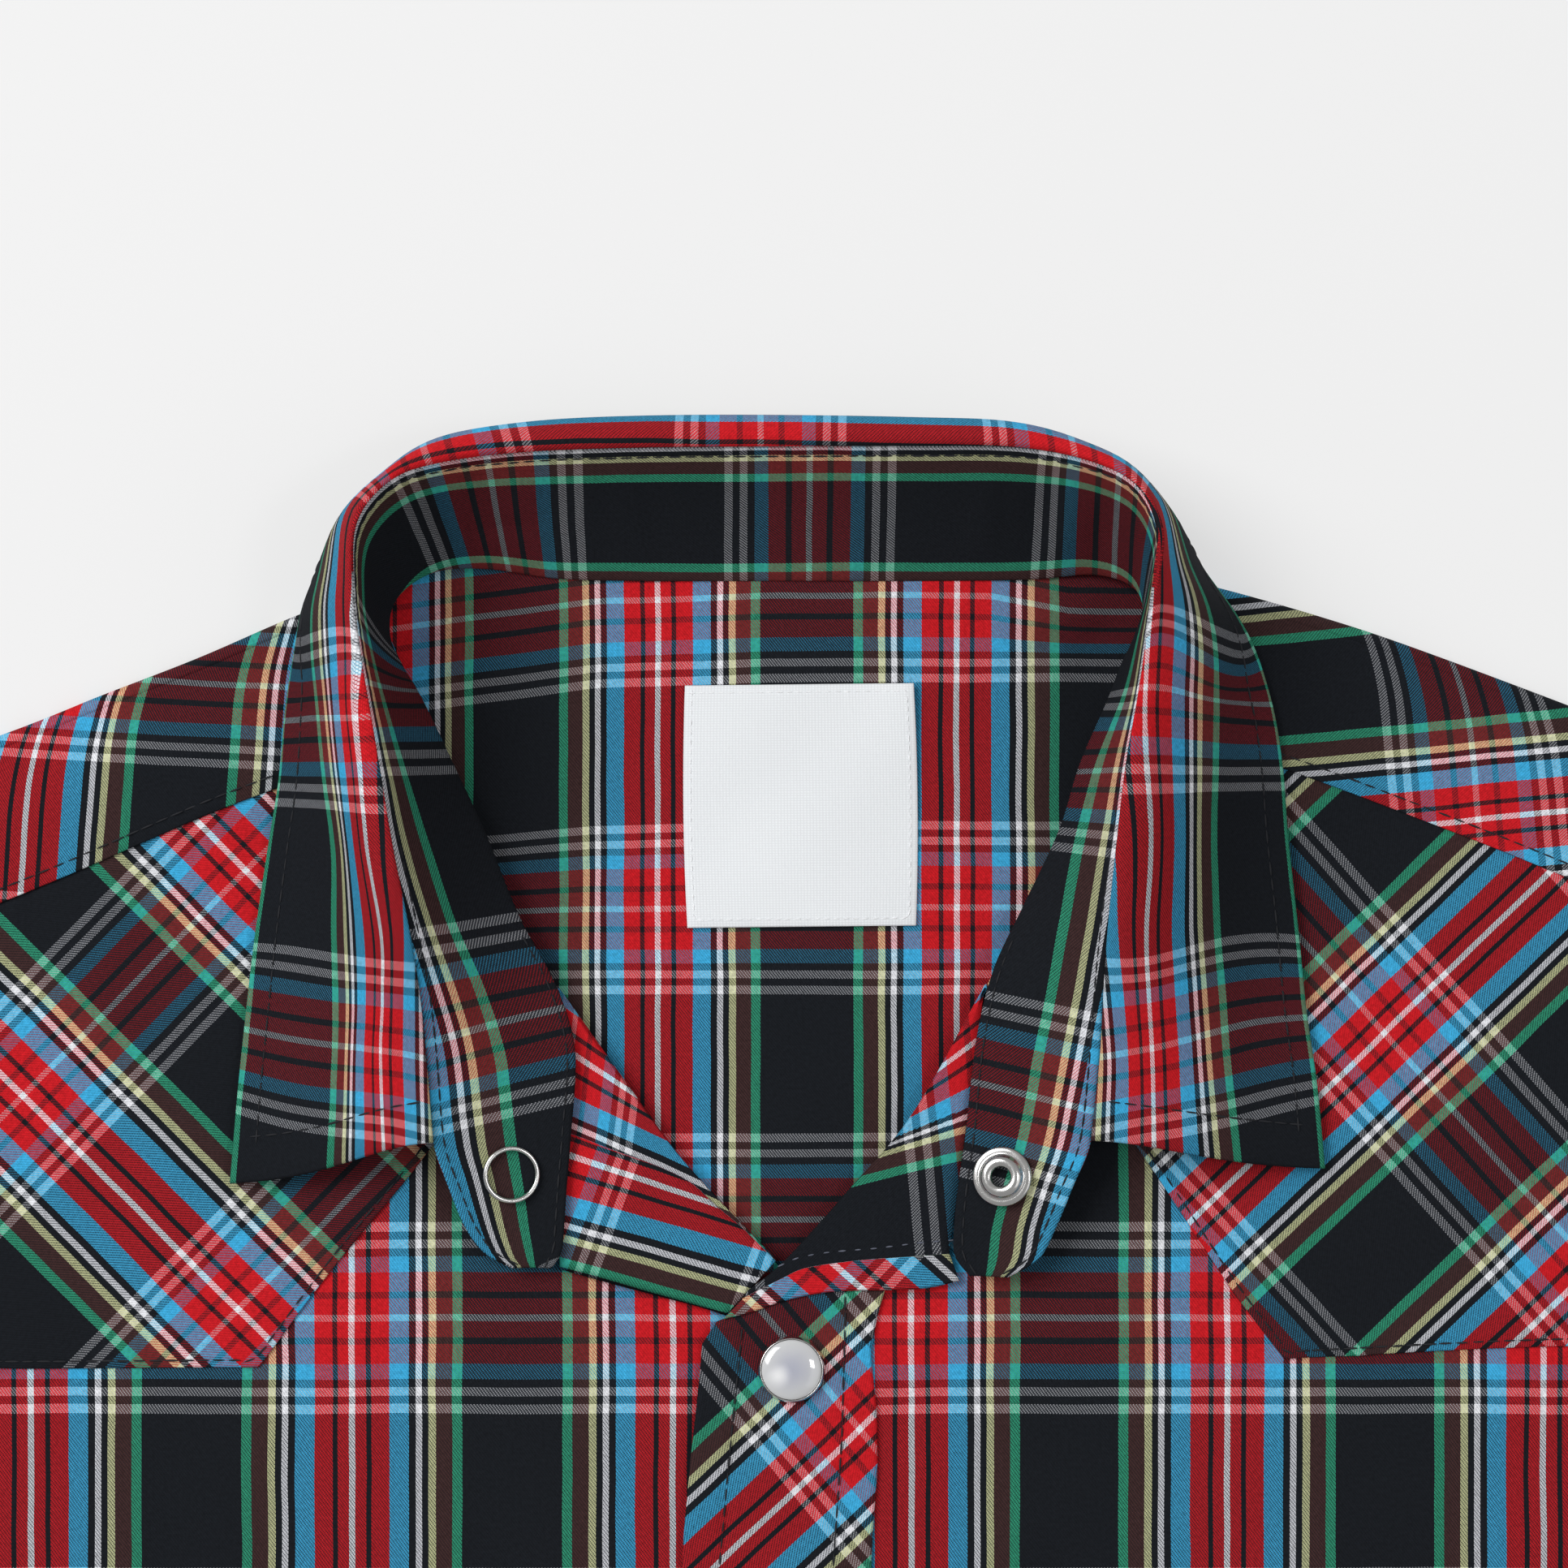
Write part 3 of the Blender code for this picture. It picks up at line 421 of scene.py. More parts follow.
@dataclass(frozen=True)
class TartanTwill:
    """Yarn-dyed cotton shirting woven in a 2/1 twill: matt, faintly ribbed on the diagonal, with painted
    shade between its threads and on its weft.

    The sett is given from a pivot to the next as (end in millimetres, yarn), and mirrors at each pivot.
    """

    name: str = "yarn_dyed_cotton_twill"
    warp: tuple = (
        (0.45, Yarn.WHITE), (2.4, Yarn.RED), (3.3, Yarn.BLACK), (6.4, Yarn.RED), (9.8, Yarn.BLUE),
        (11.0, Yarn.BLACK), (12.1, Yarn.WHITE), (13.1, Yarn.BLACK), (14.4, Yarn.YELLOW), (17.3, Yarn.BROWN),
        (19.0, Yarn.GREEN), (27.7, Yarn.BLACK),
    )
    weft: tuple = (
        (0.5, Yarn.WHITE), (3.4, Yarn.RED), (4.6, Yarn.BLACK), (8.0, Yarn.RED), (10.7, Yarn.BLUE),
        (12.1, Yarn.BLACK), (13.7, Yarn.WHITE), (15.1, Yarn.BLACK), (16.7, Yarn.WHITE), (30.3, Yarn.BLACK),
    )
    warp_pitch_mm: float = 0.18  # three threads make one twill line
    weft_pitch_mm: float = 0.24
    wander_mm: float = 0.35      # how far a stripe strays from straight
    wander_scale_mm: float = 22.0
    rib_mm: float = 0.05
    blend: float = 0.45          # how much of a crossing's colour both threads share
    weft_shade_tone: float = 0.55           # painted shade: tone of the weft where it dips between warp threads
    painted_thread_shade: tuple[float, float] = (0.68, 1.18)  # painted shade between the threads and painted highlight on top of them, as tones
    slub: tuple[float, float] = (0.55, 1.45)     # tones of thin and thick stretches of yarn
    slub_scale: float = 1500.0

    def stripes(self, tree: Tree, place: Socket, sett: tuple) -> Socket:
        """Colours one set of threads by their place across it.

        Args:
            tree: The material's tree.
            place: Place across the threads, in metres.
            sett: The half sett.

        Returns:
            The colour socket.
        """
        half = sett[-1][0]
        share = maths(tree, "MULTIPLY", maths(tree, "PINGPONG", place, half * MM), 1.0 / (half * MM))
        ramp = add_node(tree, "ShaderNodeValToRGB", {0: share})
        band = ramp.color_ramp
        band.interpolation = "CONSTANT"
        band.elements.remove(band.elements[1])
        band.elements[0].position = 0.0
        band.elements[0].color = linear(sett[0][1].value)
        for (start, _), (_, yarn) in zip(sett, sett[1:]):
            band.elements.new(start / half).color = linear(yarn.value)
        return ramp.outputs[0]

    def thread(self, tree: Tree, place: Socket, pitch: float) -> tuple[Socket, Socket]:
        """The threads' numbers and round heights at places in metres; pitch is in millimetres."""
        count = maths(tree, "MULTIPLY", place, 1.0 / (pitch * MM))
        return maths(tree, "FLOOR", count), humps(tree, count)

    def crossing(self, tree: Tree, warp: Socket, weft: Socket, weft_up: Socket) -> Socket:
        """Colour where a warp and a weft thread cross: two parts warp to one of weft, with painted shade on
        the weft where it shows.

        Args:
            tree: The material's tree.
            warp: The warp's colour.
            weft: The weft's colour.
            weft_up: 1 where the weft lies on top.

        Returns:
            The colour socket.
        """
        powers = [add_node(tree, "ShaderNodeGamma", {0: colour, 1: power}).outputs[0]
                  for colour, power in ((warp, 2.0 / 3.0), (weft, 1.0 / 3.0))]
        shared = add_node(tree, "ShaderNodeVectorMath", {0: powers[0], 1: powers[1]}, operation="MULTIPLY")
        # painted shade on the weft where it lies on top
        shaded_weft = add_node(tree, "ShaderNodeVectorMath", {0: weft, "Scale": self.weft_shade_tone}, operation="SCALE")
        top = add_node(tree, "ShaderNodeMix", {0: weft_up, 6: warp, 7: shaded_weft.outputs[0]}, data_type="RGBA")
        mixed = add_node(tree, "ShaderNodeMix", {0: self.blend, 6: top.outputs[2], 7: shared.outputs[0]},
                         data_type="RGBA")
        return mixed.outputs[2]

    def material(self) -> Material:
        """Builds the cloth's material.

        Returns:
            A material that reads the piece's own UV map, in metres of cloth.
        """
        material, tree, shader = new_finish(self.name, {"Roughness": 0.9, "Specular IOR Level": 0.1})
        uv = add_node(tree, "ShaderNodeUVMap", uv_map="cloth").outputs[0]
        drift = add_node(tree, "ShaderNodeTexNoise",
                         {"Vector": uv, "Scale": 1.0 / (self.wander_scale_mm * MM), "Detail": 2.0})
        centred = add_node(tree, "ShaderNodeVectorMath", {0: drift.outputs["Color"], 1: (0.5, 0.5, 0.5)},
                           operation="SUBTRACT")
        stray = add_node(tree, "ShaderNodeVectorMath",
                         {0: centred.outputs[0], "Scale": 2.0 * self.wander_mm * MM}, operation="SCALE")
        placed = add_node(tree, "ShaderNodeVectorMath", {0: uv, 1: stray.outputs[0]}, operation="ADD")
        axes = add_node(tree, "ShaderNodeSeparateXYZ", {0: placed.outputs[0]})
        warp_place, weft_place = axes.outputs[0], axes.outputs[1]
        warp_number, warp_height = self.thread(tree, warp_place, self.warp_pitch_mm)
        weft_number, weft_height = self.thread(tree, weft_place, self.weft_pitch_mm)
        step = maths(tree, "FLOORED_MODULO", maths(tree, "SUBTRACT", warp_number, weft_number), 3.0)
        weft_up = maths(tree, "GREATER_THAN", step, 1.5)
        colour = self.crossing(tree, self.stripes(tree, warp_place, self.warp),
                               self.stripes(tree, weft_place, self.weft), weft_up)
        rise = add_node(tree, "ShaderNodeMix", {0: weft_up, 2: warp_height, 3: weft_height},
                        data_type="FLOAT").outputs[0]
        slub = add_node(tree, "ShaderNodeTexNoise", {"Vector": uv, "Scale": self.slub_scale, "Detail": 3.0})
        # painted shade between the threads and painted highlight on their tops, times the yarns' own slubs
        shade_and_slub = maths(tree, "MULTIPLY", ranged(tree, rise, *self.painted_thread_shade),
                      ranged(tree, slub.outputs[0], *self.slub))
        tint(tree, shader, colour, shade_and_slub)
        emboss(tree, shader, rise, self.rib_mm)
        return material


@dataclass(frozen=True)
class LabelWeave:
    """Damask-woven polyester label tape: off-white, ribbed along its width, softly shining."""

    name: str = "woven_label_tape"
    colour: str = "#F3F6F9"
    rib_mm: float = 0.55
    cross_rib_mm: float = 0.44
    depth_mm: float = 0.06

    def material(self) -> Material:
        """Builds the label's material, which reads the label's own UV map.

        Returns:
            The material.
        """
        material, tree, shader = new_finish(self.name, {"Roughness": 0.7, "Sheen Weight": 0.1})
        uv = add_node(tree, "ShaderNodeUVMap", uv_map="cloth").outputs[0]
        axes = add_node(tree, "ShaderNodeSeparateXYZ", {0: uv})
        ribs = [humps(tree, maths(tree, "MULTIPLY", place, 1.0 / (pitch * MM)))
                for place, pitch in zip(axes.outputs, (self.rib_mm, self.cross_rib_mm))]
        weave = maths(tree, "MULTIPLY", *ribs)
        # painted shade: darker in the hollows between the ribs, full tone on their tops
        tint(tree, shader, linear(self.colour)[:3], ranged(tree, weave, 0.86, 1.02))
        emboss(tree, shader, weave, self.depth_mm)
        return material


@dataclass(frozen=True)
class Thread:
    """Spun polyester sewing thread: matt, twisted."""

    name: str
    colour: str

    def material(self) -> Material:
        """Builds the thread's material, streaked by its twist.

        Returns:
            The material.
        """
        material, tree, shader = new_finish(self.name, {"Roughness": 0.8})
        where = add_node(tree, "ShaderNodeTexCoord").outputs["Object"]
        twist = add_node(tree, "ShaderNodeTexNoise", {"Vector": where, "Scale": 2500.0})
        tint(tree, shader, linear(self.colour)[:3], ranged(tree, twist.outputs[0], 0.6, 1.4))
        return material


@dataclass(frozen=True)
class NickelPlate:
    """Pressed brass plated with bright nickel: a polished metal with faint handling marks."""

    name: str = "bright_nickel_plate"
    colour: str = "#D9D8D6"

    def material(self) -> Material:
        """Builds the metal's material.

        Returns:
            The material.
        """
        material, tree, shader = new_finish(self.name, {"Base Color": linear(self.colour), "Metallic": 1.0})
        where = add_node(tree, "ShaderNodeTexCoord").outputs["Object"]
        marks = add_node(tree, "ShaderNodeTexNoise", {"Vector": where, "Scale": 900.0, "Detail": 4.0})
        tree.links.new(ranged(tree, marks.outputs[0], 0.12, 0.30), shader.inputs["Roughness"])
        return material


@dataclass(frozen=True)
class PearlResin:
    """Cast polyester resin with pearl essence: glossy, its grey middle paling to a painted sheen at the rim,
    with a painted glow to one side.
    """

    name: str = "pearl_resin"
    painted_glow: str = "#FBFBFB"
    middle: str = "#B2B4C2"
    # paler rim colour: painted sheen
    edge: str = "#CFD0D1"
    # where the rim's painted sheen is fully reached
    edge_mm: float = 5.4
    painted_glow_strength: str = "#E6E6E6"  # how much of the painted glow shows at its own middle, as a grey
    # middle of the painted glow on the cap, and how far it reaches
    painted_glow_place_mm: tuple[float, float] = (-2.3, -1.0)
    painted_glow_mm: float = 2.7
    swirl: float = 0.0007        # how far the swirls move a tone, in metres

    def fading(self, tree: Tree, where: tuple[Socket, Socket], place_mm: tuple[float, float], far_mm: float,
               colours: tuple[str, str]) -> Socket:
        """A colour that turns softly into another with the distance from a place.

        Args:
            tree: The material's tree.
            where: The point that is shaded, and what its swirls add to the distance.
            place_mm: The place on the cap.
            far_mm: Where the second colour is reached.
            colours: The two colours, as hex.

        Returns:
            The colour socket.
        """
        uv, added = where
        spot = (place_mm[0] * MM, place_mm[1] * MM, 0.0)
        away = add_node(tree, "ShaderNodeVectorMath", {0: uv, 1: spot}, operation="DISTANCE").outputs["Value"]
        share = maths(tree, "MULTIPLY", maths(tree, "ADD", away, added), 1.0 / (far_mm * MM))
        ramp = add_node(tree, "ShaderNodeValToRGB", {0: share})
        ramp.color_ramp.interpolation = "EASE"
        for element, colour in zip(ramp.color_ramp.elements, colours):
            element.color = linear(colour)
        return ramp.outputs[0]

    def material(self) -> Material:
        """Builds the pearl's material, which reads the cap's own UV map.

        Returns:
            The material.
        """
        material, tree, shader = new_finish(
            self.name, {"Roughness": 0.12, "Coat Weight": 1.0, "Coat Roughness": 0.03})
        uv = add_node(tree, "ShaderNodeUVMap", uv_map="cloth").outputs[0]
        swirls = add_node(tree, "ShaderNodeTexNoise",
                          {"Vector": uv, "Scale": 170.0, "Detail": 2.0, "Distortion": 1.0})
        where = (uv, ranged(tree, swirls.outputs[0], -self.swirl, self.swirl))
        # grey middle paling to a painted sheen at the rim, then a painted glow to one side
        grey_and_rim_sheen = self.fading(tree, where, (0.0, 0.0), self.edge_mm, (self.middle, self.edge))
        painted_glow_mask = self.fading(tree, where, self.painted_glow_place_mm, self.painted_glow_mm, (self.painted_glow_strength, "#000000"))
        mixed = add_node(tree, "ShaderNodeMix", {0: painted_glow_mask, 6: grey_and_rim_sheen, 7: linear(self.painted_glow)}, data_type="RGBA")
        tree.links.new(mixed.outputs[2], shader.inputs["Base Color"])
        return material


@dataclass
class Finishes:
    """Every finish of the shirt, made once."""

    tartan: Material = field(default_factory=TartanTwill().material)
    label: Material = field(default_factory=LabelWeave().material)
    dark_thread: Material = field(default_factory=Thread("dark_topstitch_thread", "#15171D").material)
    pale_thread: Material = field(default_factory=Thread("pale_thread", "#5C606E").material)
    label_thread: Material = field(default_factory=Thread("white_thread", "#F4F5F7").material)
    nickel: Material = field(default_factory=NickelPlate().material)
    pearl: Material = field(default_factory=PearlResin().material)


# ---- the cloth's grain and its folds


@dataclass(frozen=True)
class Grain:
    """How a flat piece was cut from the cloth.

    warp_angle is the direction of the warp threads in degrees from +X. A warp pivot passes through
    warp_pivot, and a weft pivot through weft_pivot. The scales are cloth length for each length in plan.
    Where the warp is pulled unevenly, marks pairs distances from its pivot in plan with places in the cloth.
    """

    warp_angle: float
    warp_pivot: tuple[float, float]
    weft_pivot: tuple[float, float]
    warp_scale: float = 1.0
    weft_scale: float = 1.0
    weft_angle: float = 90.0     # between the weft and the warp
    marks: tuple = ()

    def uv(self, x: Array, y: Array) -> Array:
        """Places in the cloth, in metres, of points in plan.

        Args:
            x, y: Places in plan.

        Returns:
            U and V for each place.
        """
        a = math.radians(self.warp_angle)
        b = math.radians(self.warp_angle + self.weft_angle)
        u = -(x - self.warp_pivot[0]) * math.sin(a) + (y - self.warp_pivot[1]) * math.cos(a)
        v = (x - self.weft_pivot[0]) * math.sin(b) - (y - self.weft_pivot[1]) * math.cos(b)
        if self.marks:
            plan, cloth = np.array(self.marks, dtype=float).T
            beyond = np.clip(u, plan[-1], None) - plan[-1] + np.clip(u, None, plan[0]) - plan[0]
            u = np.interp(u, plan, cloth) + beyond
        else:
            u = u * self.warp_scale
        return np.stack((u, v * self.weft_scale), axis=-1) * MM


@dataclass(frozen=True)
class Crease:
    """A soft ridge, or a trough where height is negative, along a straight run."""

    x0: float
    y0: float
    x1: float
    y1: float
    half_width: float
    height: float

    def rise(self, x: Array, y: Array) -> Array:
        """How much the crease adds at places in plan.

        Args:
            x, y: Places in plan.

        Returns:
            The height to add.
        """
        run = np.array((self.x1 - self.x0, self.y1 - self.y0))
        size = float(run @ run)
        t = ((x - self.x0) * run[0] + (y - self.y0) * run[1]) / size
        off = np.abs((x - self.x0) * run[1] - (y - self.y0) * run[0]) / math.sqrt(size)
        across = np.where(off < self.half_width, 0.5 + 0.5 * np.cos(math.pi * off / self.half_width), 0.0)
        ends = np.where((t > 0) & (t < 1), np.sin(math.pi * np.clip(t, 0, 1)) ** 0.8, 0.0)
        return self.height * across * ends


BODY_FOLDS = (
    Crease(-235, -305, -125, -430, 17, 2.2),
    Crease(238, -330, 135, -470, 17, 2.0),
    Crease(-62, -330, -96, -640, 21, 2.0),
    Crease(86, -300, 121, -600, 22, 2.0),
    Crease(-190, -520, -152, -690, 17, 1.8),
    Crease(196, -500, 214, -640, 17, 1.8),
)


def undulation(x: Array, y: Array, seed: int, amount: float = 0.16) -> Array:
    """Slow uneven waves of a cloth that has been handled.

    Args:
        x, y: Places in plan.
        seed: Picks the waves.
        amount: How high they are.

    Returns:
        The height to add.
    """
    rng = np.random.default_rng(seed)
    total = np.zeros_like(x, dtype=float)
    for wavelength in (95.0, 61.0, 38.0, 27.0, 19.0):
        angle, phase = rng.uniform(0, math.pi), rng.uniform(0, 2 * math.pi)
        k = 2 * math.pi / wavelength
        total += (wavelength / 60.0) ** 0.5 * np.sin(k * (x * math.cos(angle) + y * math.sin(angle)) + phase)
    return amount * total


def pucker(x: Array, y: Array, seam: Line, seed: int) -> Array:
    """Small ripples square to a stitched seam, and the groove it lies in.

    Args:
        x: Places in plan.
        y: Places in plan.
        seam: The stitched line.
        seed: Picks the ripples' phases.

    Returns:
        The height to add.
    """
    height, reach = 0.16, 4.5            # of the ripples
    depth, half_width = 0.16, 0.9        # of the groove
    rng = np.random.default_rng(seed)
    stops = np.linspace(0.0, 1.0, max(3, int(seam.length)))
    points = seam.at(stops)[:, :2]
    flat_x, flat_y = np.ravel(x), np.ravel(y)
    away = np.full(flat_x.shape, 1e9)
    along = np.zeros(flat_x.shape)
    low, high = points.min(axis=0) - 3 * reach, points.max(axis=0) + 3 * reach
    near = (flat_x > low[0]) & (flat_x < high[0]) & (flat_y > low[1]) & (flat_y < high[1])
    if near.any():
        gap = np.hypot(flat_x[near, None] - points[None, :, 0], flat_y[near, None] - points[None, :, 1])
        nearest = gap.argmin(axis=1)
        away[near] = gap[np.arange(len(gap)), nearest]
        along[near] = stops[nearest] * seam.length
    first, second = rng.uniform(0, 2 * math.pi, 2)
    wave = np.sin(2 * math.pi * along / 6.1 + first) + 0.7 * np.sin(2 * math.pi * along / 9.7 + second)
    total = height * wave * np.exp(-(away / reach) ** 2) - depth * np.exp(-(away / half_width) ** 2)
    return total.reshape(np.shape(x))


def neck_lift(x: Array, y: Array) -> Array:
    """How far the upper layers rise beside the neck."""
    away = np.hypot(np.abs(x) - NECK_SIDE[0], y - NECK_SIDE[1])
    return NECK_LIFT * (1.0 - smoothstep(0.0, 30.0, away))


def front_under(x: Array, y: Array) -> Array:
    """Underside of the fronts' solids, where neither climbs on the other.

    Args:
        x, y: Places in plan.

    Returns:
        The height.
    """
    on_lining = smoothstep(-205.0, -175.0, y)
    height = LAYER * (1.0 + on_lining)
    side = np.where(y < ARMPIT_Y, SIDE_X, CHEST_X)
    height = height + AIR * smoothstep(0.0, 30.0, side - np.abs(x)) * (1.0 - on_lining)
    for fold in BODY_FOLDS:
        height = height + fold.rise(x, y)
    return height + neck_lift(x, y)


def front_face(x: Array, y: Array, climbs: bool) -> Array:
    """Upper face of a front as it shows, just over its solid so that seams step as thin cloth does."""
    height = front_under(x, y) + FRONT_RISE
    return height + smoothstep(RAMP_X, RAMP_END_X, x) if climbs else height


LINING_FOLDS = (
    Crease(6, -84, 3, -128, 5.0, 0.35),
    Crease(15, -80, 10, -126, 5.5, 0.3),
    Crease(-8, -92, -6, -128, 5.0, -0.3),
    Crease(24, -84, 17, -112, 5.0, -0.25),
    Crease(-68, 0, -50, -13, 3.5, 0.7),
    Crease(-66, -8, -47, -2, 3.0, -0.6),
    Crease(-58, 3, -57, -22, 2.6, 0.5),
    Crease(64, -3, 36, -7, 3.5, 0.7),
    Crease(62, -9, 40, -13, 3.0, -0.5),
    Crease(57, 2, 47, -24, 3.0, 0.4),
)
STAND_FOLDS = (
    Crease(-46, 24, -43, 2, 3.0, 0.8),
    Crease(-52.5, 23, -49.5, 4, 2.6, -0.8),
    Crease(-58, 21, -54, 4, 2.6, 0.8),
    Crease(-54, 9, -41, 10.5, 2.2, -0.6),
    Crease(-66, 18, -57, 5, 3.0, -0.8),
    Crease(-27, 24, -24, 2, 4.5, 0.4),
    Crease(8, 24, 15, 2, 6.0, 0.4),
    Crease(38, 24, 36, 2, 4.5, 0.5),
    Crease(47, 22, 45, 2, 2.6, -0.6),
    Crease(52.5, 21, 50, 3, 2.6, 0.8),
    Crease(58, 18, 56.5, 2, 2.4, -0.8),
)


def lining_face(x: Array, y: Array) -> Array:
    """Upper face of the yoke's inner layer: nearly flat, with faint folds down the opening."""
    folds = sum(fold.rise(x, y) for fold in LINING_FOLDS)
    return LINING_Z + undulation(x, y, 3, 0.11) + folds


# ---- calls to the frame


def dress(piece: Piece, nodes: Sequence[str] = ()) -> None:
    """Ties a finished piece to the frame and reports it.

    Args:
        piece: The piece.
        nodes: The solids it replaces.
    """
    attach(piece, "root")
    if nodes:
        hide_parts(*nodes)
    log.info("%s: %d faces", piece.name, len(piece.data.polygons))


def dress_cloth(piece: Piece, node: str) -> None:
    """Dresses a piece of the tartan, whose flat area is half of its closed shell's surface.

    Args:
        piece: The piece.
        node: The solid it replaces.
    """
    faces = piece.data.polygons
    areas = np.empty(len(faces))
    faces.foreach_get("area", areas)
    dress(piece, (node,))


# ---- the shirt's pieces


@dataclass(frozen=True)
class Half:
    """What differs between the two halves. sign is -1 on the viewer's left, the wearer's right."""

    name: str
    sign: int
    shoulder: tuple
    seam: tuple
    neck_back: tuple
    opening: tuple
    yoke_edge: tuple
    front_grain: Grain
    yoke_grain: Grain
    wrap_grain: Grain
    seed: int

    @property
    def climbs(self) -> bool:
        """Whether this front laps over the other."""
        return self.sign > 0


RIGHT = Half(
    name="right", sign=-1, seed=11,
    shoulder=((-70, -1.6), (-82.6, -5), (-101.4, -13), (-118.4, -19.6), (-136.4, -26.7), (-180, -42),
              (-219, -54)),
    seam=((-59.5, -25.4), (-95.4, -38.1), (-136.4, -55.4), (-212.2, -84)),
    neck_back=((-0.15, 0), (-38, 0.4), (-52, 2.0), (-60, 1.0), (-66, -3.0), (-70, -7.5)),
    opening=((15.0, -136), (11, -128), (0.1, -117.9), (-14.9, -102), (-24, -90.1), (-37.7, -70.6),
             (-44.4, -58.3), (-51.5, -42.5), (-59.8, -26)),
    yoke_edge=((-42.5, -72), (-59.9, -98.4), (-76.6, -118.9), (-90.4, -137.3), (-136.4, -137.6),
               (-203.9, -137)),
    front_grain=Grain(90.0, (-17.9, 0), (0, -128.7), 0.985),
    yoke_grain=Grain(-44.7, (-112, -109.4), (-86.0, -119.1), weft_scale=1.14, weft_angle=90.0,
                     marks=((-38.0, -37.25), (-19.0, -18.15), (0, 0), (19.3, 18.15), (37.5, 37.25))),
    wrap_grain=Grain(85.8, (-130.3, -29.5), (-100.1, -17.5), 1.045, 1.15, 91.2),
)
LEFT = Half(
    name="left", sign=1, seed=23,
    shoulder=((69, 1.2), (78, -0.7), (94.4, -5.3), (110.9, -10.7), (139.6, -21.4), (180, -37), (219, -53)),
    seam=((58.4, -21.5), (90, -31.9), (117.3, -42.1), (139.6, -51), (213, -81)),
    neck_back=((0.15, 0), (45, 0.1), (56, 0.8), (62, -1.0), (65.5, -4.5), (69, -6.5)),
    opening=((-13.0, -141), (-9.6, -130.4), (-1.5, -121.1), (12.9, -105.9), (24.1, -92.6), (36.6, -70),
             (43.3, -56.1), (50.3, -43), (58.7, -22.2)),
    yoke_edge=((42.0, -69), (64.7, -100.6), (80, -123.6), (89.3, -135.9), (139.6, -133.6), (204.5, -133)),
    front_grain=Grain(90.0, (79.3, 0), (0, -128.7)),
    yoke_grain=Grain(44.2, (117.5, -68.3), (113.6, -86.4), weft_scale=1.1, weft_angle=87.4,
                     marks=((-36.7, -37.25), (-17.3, -18.15), (0, 0), (17.1, 18.15), (36.5, 37.25))),
    wrap_grain=Grain(5.6, (116.3, -42), (122.2, -30), 1.07, 1.1, 89.6),
)

PLACKET_SEAM_YS = (-172.0, -150.0, -129.0)
PLACKET_SEAMS = ((-9.7, -7.7, -5.6), (10.2, 11.7, 12.3))
PLACKET_EDGES = (
    ((-16.2, -171.0), (-15.9, -165.4), (-14.6, -151.5), (-13.9, -145.5), (-13.1, -137.5), (-12.8, -133.2),
     (-10.2, -129.2)),
    ((16.9, -171.0), (17.2, -165.4), (18.0, -154.5), (17.9, -145.5), (17.3, -139.5), (16.8, -134.5),
     (17.9, -128.5), (19.6, -122.6)),
)
ARMHOLE = ((222, -55.5), (214, -84), (207, -115), (204.5, -150), (208, -190), (220, -230), (238, -256),
           (SIDE_X, ARMPIT_Y))
BODY_INSET = 0.7         # how far inside the armhole's seam line the body's cloth ends
WAIST = (255.0, -450.0)
YOKE_SIDE = (204.3, -135.0)
YOKE_POINT_Y = -175.0


def armhole_x(y: Array) -> Array:
    """How far out the body's panels reach at a height beside the armhole."""
    hole = ARMHOLE[::-1]
    return np.interp(y, [p[1] for p in hole], [p[0] - BODY_INSET for p in hole])


def side_x(y: Array) -> Array:
    """How far out the body reaches below the armpit."""
    return np.interp(y, (FRONT_TAIL_Y, SIDE_HEM_Y, WAIST[1], ARMPIT_Y), (HEM_X, HEM_X, WAIST[0], SIDE_X))


def tail(x: Array, centre_y: float) -> Array:
    """The curved hem: its height at a distance from the centre."""
    t = np.minimum(1.0, np.abs(x) / HEM_X)
    return centre_y + (SIDE_HEM_Y - centre_y) * (0.5 - 0.5 * np.cos(math.pi * t)) ** 1.15


def yoke_seam_y(x: Array) -> Array:
    """The lower edge of the back yoke: its pointed seam, then the armhole beyond the seam's end.

    Args:
        x: Places across.

    Returns:
        The edge's Y at each.
    """
    far = np.abs(x)
    seam = YOKE_POINT_Y + (YOKE_SIDE[1] - YOKE_POINT_Y) * far / YOKE_SIDE[0]
    hole = (YOKE_SIDE,) + tuple((hx - BODY_INSET, hy) for hx, hy in reversed(ARMHOLE[:3]))
    beyond = np.interp(far, [p[0] for p in hole], [p[1] for p in hole])
    return np.where(far <= YOKE_SIDE[0], seam, beyond)


def placket_seam_x(side: int, y: Array) -> Array:
    """Where the placket's topstitching runs: side 0 is the one on the viewer's left."""
    return np.interp(y, PLACKET_SEAM_YS, PLACKET_SEAMS[side])


